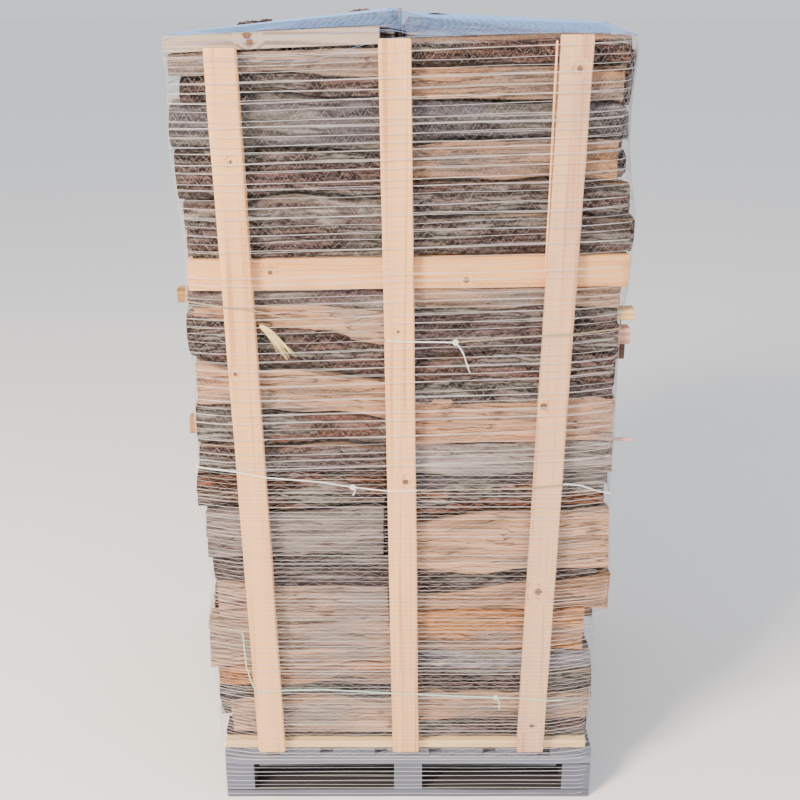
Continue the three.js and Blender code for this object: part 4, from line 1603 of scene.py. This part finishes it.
class FIRE_OT_stubs(bpy.types.Operator):
    """Short ends of hidden pieces that stick out at the sides, and bark on the crown"""

    bl_idname = "fire.stubs"
    bl_label = "Stubs"

    def execute(self, context):
        dice = np.random.default_rng(21)
        pale = sawn_material("stub_pale", 0, [], "#e2bd86", "#b98a55")
        pink = sawn_material("stub_pink", 0, [], "#d9aa98", "#a7786a")
        brown = sawn_material("stub_brown", 0, [], "#5c4435", "#2f231c")
        # Each stub's lowest and highest corner and its material's number.
        boxes = (
            ((-0.5420, -0.425, 1.380), (-0.45, -0.390, 1.414), 3),
            ((-0.5340, -0.425, 1.045), (-0.45, -0.390, 1.088), 3),
            ((0.45, -0.470, 1.349), (0.5385, -0.430, 1.375), 0),
            ((0.45, -0.470, 1.290), (0.5320, -0.425, 1.328), 1),
            ((0.45, -0.465, 1.252), (0.5220, -0.425, 1.289), 2),
            ((0.45, -0.455, 1.036), (0.5585, -0.447, 1.044), 1),
        )
        parts = []
        for low, high, slot in boxes:
            parts.append(board_between(np.array(low), np.array(high), 0, dice, 4))
            parts[-1]["slots"] = [slot] * len(parts[-1]["faces"])
        tan = sawn_material("stub_tan", 0, [], "#b98a5c", "#7d5a3b")
        piece = make_object("side_stubs", parts, [pale, pink, brown, tan])
        # Loose bark and twigs: middle, length along x and radius.
        chips = (
            ((-0.400, 0.0, 2.006), 0.055, 0.007), ((-0.358, 0.02, 2.011), 0.035, 0.006),
            ((-0.115, 0.0, 2.036), 0.050, 0.006), ((0.090, 0.0, 2.026), 0.060, 0.005),
            ((0.370, 0.0, 2.009), 0.080, 0.006), ((0.480, 0.0, 1.999), 0.060, 0.008),
        )
        steps, sunk = 14, 0.0045
        parts = []
        for middle, length, radius in chips:
            t = np.linspace(-0.5, 0.5, steps)
            path = np.array(middle) - (0, 0, sunk) + np.stack(
                [t * length, 0.006 * np.sin(5 * t), -0.09 * t * length * np.sign(middle[0])], 1
            ) + dice.normal(0, radius * 0.08, (steps, 3))
            thick = radius * (0.55 + 0.45 * np.cos(t * math.pi)) * dice.uniform(0.7, 1.2, steps)
            parts.append(tube(path, thick, 7, False))
        bark = kept("weathered_bark", bark_material)
        piece = make_object("crown_bark", parts, [bark], sharp=60)
        return {"FINISHED"}


class FIRE_OT_net(bpy.types.Operator):
    """The knitted net: ribs round the load with threads between them, and its crown"""

    bl_idname = "fire.net"
    bl_label = "Net"

    def execute(self, context):
        settings = context.scene.fire_net
        material = plastic_material("net", settings.colour, 0.4, 0.2)
        points = all_points(wrapped_names() + ["splinter"])
        wrap = Wrap(points, 0.004, 1.995)
        dice = np.random.default_rng(9)
        pieces = {
            "net_lower_ribs": ([], settings.yarn * 0.8), "net_lower_ties": ([], settings.tie * 0.8),
            "net_upper_ribs": ([], settings.yarn * 0.92),
            **{f"net_upper_ties_{n}": ([], settings.tie * 0.75) for n in (1, 2, 3)},
        }
        z = NET_FOOT
        while z < settings.change:
            slope = 0.002 + dice.normal(0, 0.002)
            for strand in range(1 + (dice.uniform() < 0.4)):
                loop = rib(wrap, z + 0.0013 * strand, slope, RIB_OUT, dice, RIB_POINTS, 0.0008)
                pieces["net_lower_ribs"][0].append((loop, True))
            if z > NET_TIES:
                loop = zigzag(wrap, z + settings.lower_pitch / 2, slope, TIE_OUT, dice,
                              TIE_POINTS, settings.lower_pitch * 0.9)
                pieces["net_lower_ties"][0].append((loop, True))
            z += settings.lower_pitch * dice.uniform(0.75, 1.2) * (1.25 if z < 0.12 else 1.0)
        z = settings.change
        while z < NET_TOP:
            slope = 0.030 + dice.normal(0, 0.003)
            for strand in range(int(dice.integers(1, 4))):
                loop = rib(wrap, z + 0.0012 * strand, slope, RIB_OUT + 0.0006 * (strand % 2),
                           dice, RIB_POINTS, 0.0014)
                pieces["net_upper_ribs"][0].append((loop, True))
            for layer in range(3):
                loop = zigzag(wrap, z + settings.upper_pitch * (0.3 + 0.35 * layer), slope,
                              0.0022 + 0.0006 * layer, dice, 240 + 20 * layer,
                              settings.upper_pitch * dice.uniform(0.7, 1.5))
                pieces[f"net_upper_ties_{layer + 1}"][0].append((loop, True))
            z += settings.upper_pitch * dice.uniform(0.7, 1.2)
        for name, (paths, radius) in pieces.items():
            piece = threads(name, paths, radius, material)
            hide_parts("net_sleeve")
        # The threads over the crown take the blue colour, a painted sky reflection.
        painted_sky_reflection = plastic_material("net_bunched", settings.painted_sky_reflection, 0.4, 0.2)
        self.crown(points, wrap, painted_sky_reflection, settings)
        return {"FINISHED"}

    def crown(self, points, wrap, material, settings):
        """Threads over the top, on the taut surfaces that span the crown of each pile."""
        trees = []
        high = points[points[:, 2] > 1.90][::3]
        for half in (high[high[:, 0] < 0.03], high[high[:, 0] > -0.01]):
            shape = bmesh.new()
            for x, y, z in half:
                shape.verts.new((x, y, z))
            for x, y, z in wrap.at(np.arange(72) / 72, 1.90):
                shape.verts.new((x, y, z))
            bmesh.ops.convex_hull(shape, input=shape.verts)
            trees.append(BVHTree.FromBMesh(shape))
            shape.free()
        rim = wrap.at(np.arange(144) / 144, 1.93, 0.002)[:, :2]
        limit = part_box("net_sleeve")[1][2] - 0.002

        def over(x, y):
            hits = [t.ray_cast(Vector((x, y, 3.0)), Vector((0, 0, -1)))[0] for t in trees]
            return min(limit, max((hit.z if hit else 1.93) for hit in hits) + 0.004)

        def line(xs, ys):
            """A thread over these places that never falls by more than 3 in 10."""
            zs = np.array([over(x, y) for x, y in zip(xs, ys)])
            steps = 0.3 * np.diff(xs)
            for i in range(1, len(xs)):
                zs[i] = max(zs[i], zs[i - 1] - steps[i - 1])
            for i in range(len(xs) - 2, -1, -1):
                zs[i] = max(zs[i], zs[i + 1] - steps[i])
            return np.column_stack([xs, ys, zs])

        def span(y):
            xs = []
            for a, b in zip(rim, np.roll(rim, -1, axis=0)):
                if (a[1] - y) * (b[1] - y) < 0:
                    xs.append(a[0] + (b[0] - a[0]) * (y - a[1]) / (b[1] - a[1]))
            return (min(xs), max(xs)) if len(xs) > 1 else None

        paths, ties = [], []
        y = rim[:, 1].min() + 0.003
        pitch = settings.crown_pitch
        while y < rim[:, 1].max() - 0.003:
            reach = span(y)
            if reach:
                xs = np.linspace(*reach, 36)
                slant = 0.02 * (xs - xs.mean())
                ys = np.clip(y + slant, rim[:, 1].min(), rim[:, 1].max())
                paths.append((line(xs, ys), False))
                xs = np.linspace(*reach, 70)
                zig = np.where(np.arange(70) % 2, pitch / 2, -pitch / 2) + pitch / 2
                slant = 0.02 * (xs - xs.mean())
                ys = np.clip(y + slant + zig, rim[:, 1].min(), rim[:, 1].max())
                ties.append((line(xs, ys), False))
            y += pitch
        for name, lines, radius in (("net_crown_ribs", paths, settings.yarn),
                                    ("net_crown_ties", ties, settings.tie)):
            piece = threads(name, lines, radius, material)
            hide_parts("net_sleeve")


class FIRE_OT_stage(bpy.types.Operator):
    """The floor, the soft lights and the camera"""

    bl_idname = "fire.stage"
    bl_label = "Stage"

    def execute(self, context):
        settings = context.scene.fire_stage
        scene = context.scene
        mesh = bpy.data.meshes.new("floor")
        size = 150.0  # so wide that no view shows its edge
        mesh.from_pydata(
            [(-size, -size, 0), (size, -size, 0), (size, size, 0), (-size, size, 0)], [],
            [(0, 1, 2, 3)],
        )
        floor = bpy.data.objects.new("floor", mesh)
        scene.collection.objects.link(floor)
        material, _, shader = surface("matt_painted_floor", Roughness=0.9)
        shader.inputs["Base Color"].default_value = linear(settings.floor)
        mesh.materials.append(material)
        # Each lamp's kind, its place, its size or the sun's angle, its power and its colour.
        lamps = (
            ("key", "AREA", (-3.4, -3.9, 4.8), 1.6, 1000, "#ffe9d2"),
            ("fill", "AREA", (3.2, -4.2, 2.0), 3.0, 90, "#fff4ec"),
            ("sky", "SUN", (0.3, -1.2, 5.0), math.radians(70), 0.35, "#cfe0ff"),
        )
        for name, kind, place, spread, power, colour in lamps:
            lamp = bpy.data.lights.new(name, kind)
            lamp.energy, lamp.color = power, linear(colour)[:3]
            if kind == "SUN":
                lamp.angle = spread
            else:
                lamp.size = spread
            holder = bpy.data.objects.new(name, lamp)
            holder.location = place
            aim = Vector((0, 0, 1.0)) - Vector(place)
            holder.rotation_euler = aim.to_track_quat("-Z", "Y").to_euler()
            scene.collection.objects.link(holder)
        world = bpy.data.worlds.new("studio")
        world.use_nodes = True
        world.node_tree.nodes["Background"].inputs["Color"].default_value = linear("#e8ecf2")
        world.node_tree.nodes["Background"].inputs["Strength"].default_value = 1.1
        scene.world = world
        lens = bpy.data.cameras.new("camera")
        lens.sensor_width = 36
        lens.lens = settings.lens
        camera = bpy.data.objects.new("camera", lens)
        camera.location = settings.place
        camera.rotation_euler = (math.pi / 2 - settings.pitch, 0, 0)
        scene.collection.objects.link(camera)
        scene.camera = camera
        return {"FINISHED"}


class FIRE_PT_panel(bpy.types.Panel):
    """The firewood load's sizes, colours and operators"""

    bl_idname = "FIRE_PT_panel"
    bl_label = "Firewood load"
    bl_space_type = "VIEW_3D"
    bl_region_type = "UI"
    bl_category = "Firewood"

    def draw(self, context):
        for key, group in SETTINGS.items():
            box = self.layout.box()
            for prop in group.__annotations__:
                box.prop(getattr(context.scene, key), prop)
        for operator in OPERATORS:
            self.layout.operator(operator.bl_idname)


OPERATORS = (
    FIRE_OT_stage, FIRE_OT_front_logs, FIRE_OT_hidden_logs, FIRE_OT_timber, FIRE_OT_pallet,
    FIRE_OT_twine, FIRE_OT_splinter, FIRE_OT_stubs, FIRE_OT_net,
)


def register():
    for kind in (*SETTINGS.values(), *OPERATORS, FIRE_PT_panel):
        bpy.utils.register_class(kind)
    for key, group in SETTINGS.items():
        setattr(bpy.types.Scene, key, PointerProperty(type=group))


def unregister():
    for key in SETTINGS:
        delattr(bpy.types.Scene, key)
    for kind in reversed((*SETTINGS.values(), *OPERATORS, FIRE_PT_panel)):
        bpy.utils.unregister_class(kind)


def main():
    register()
    for operator in OPERATORS:
        family, action = operator.bl_idname.split(".")
        getattr(getattr(bpy.ops, family), action)()


if __name__ == "__main__":
    main()
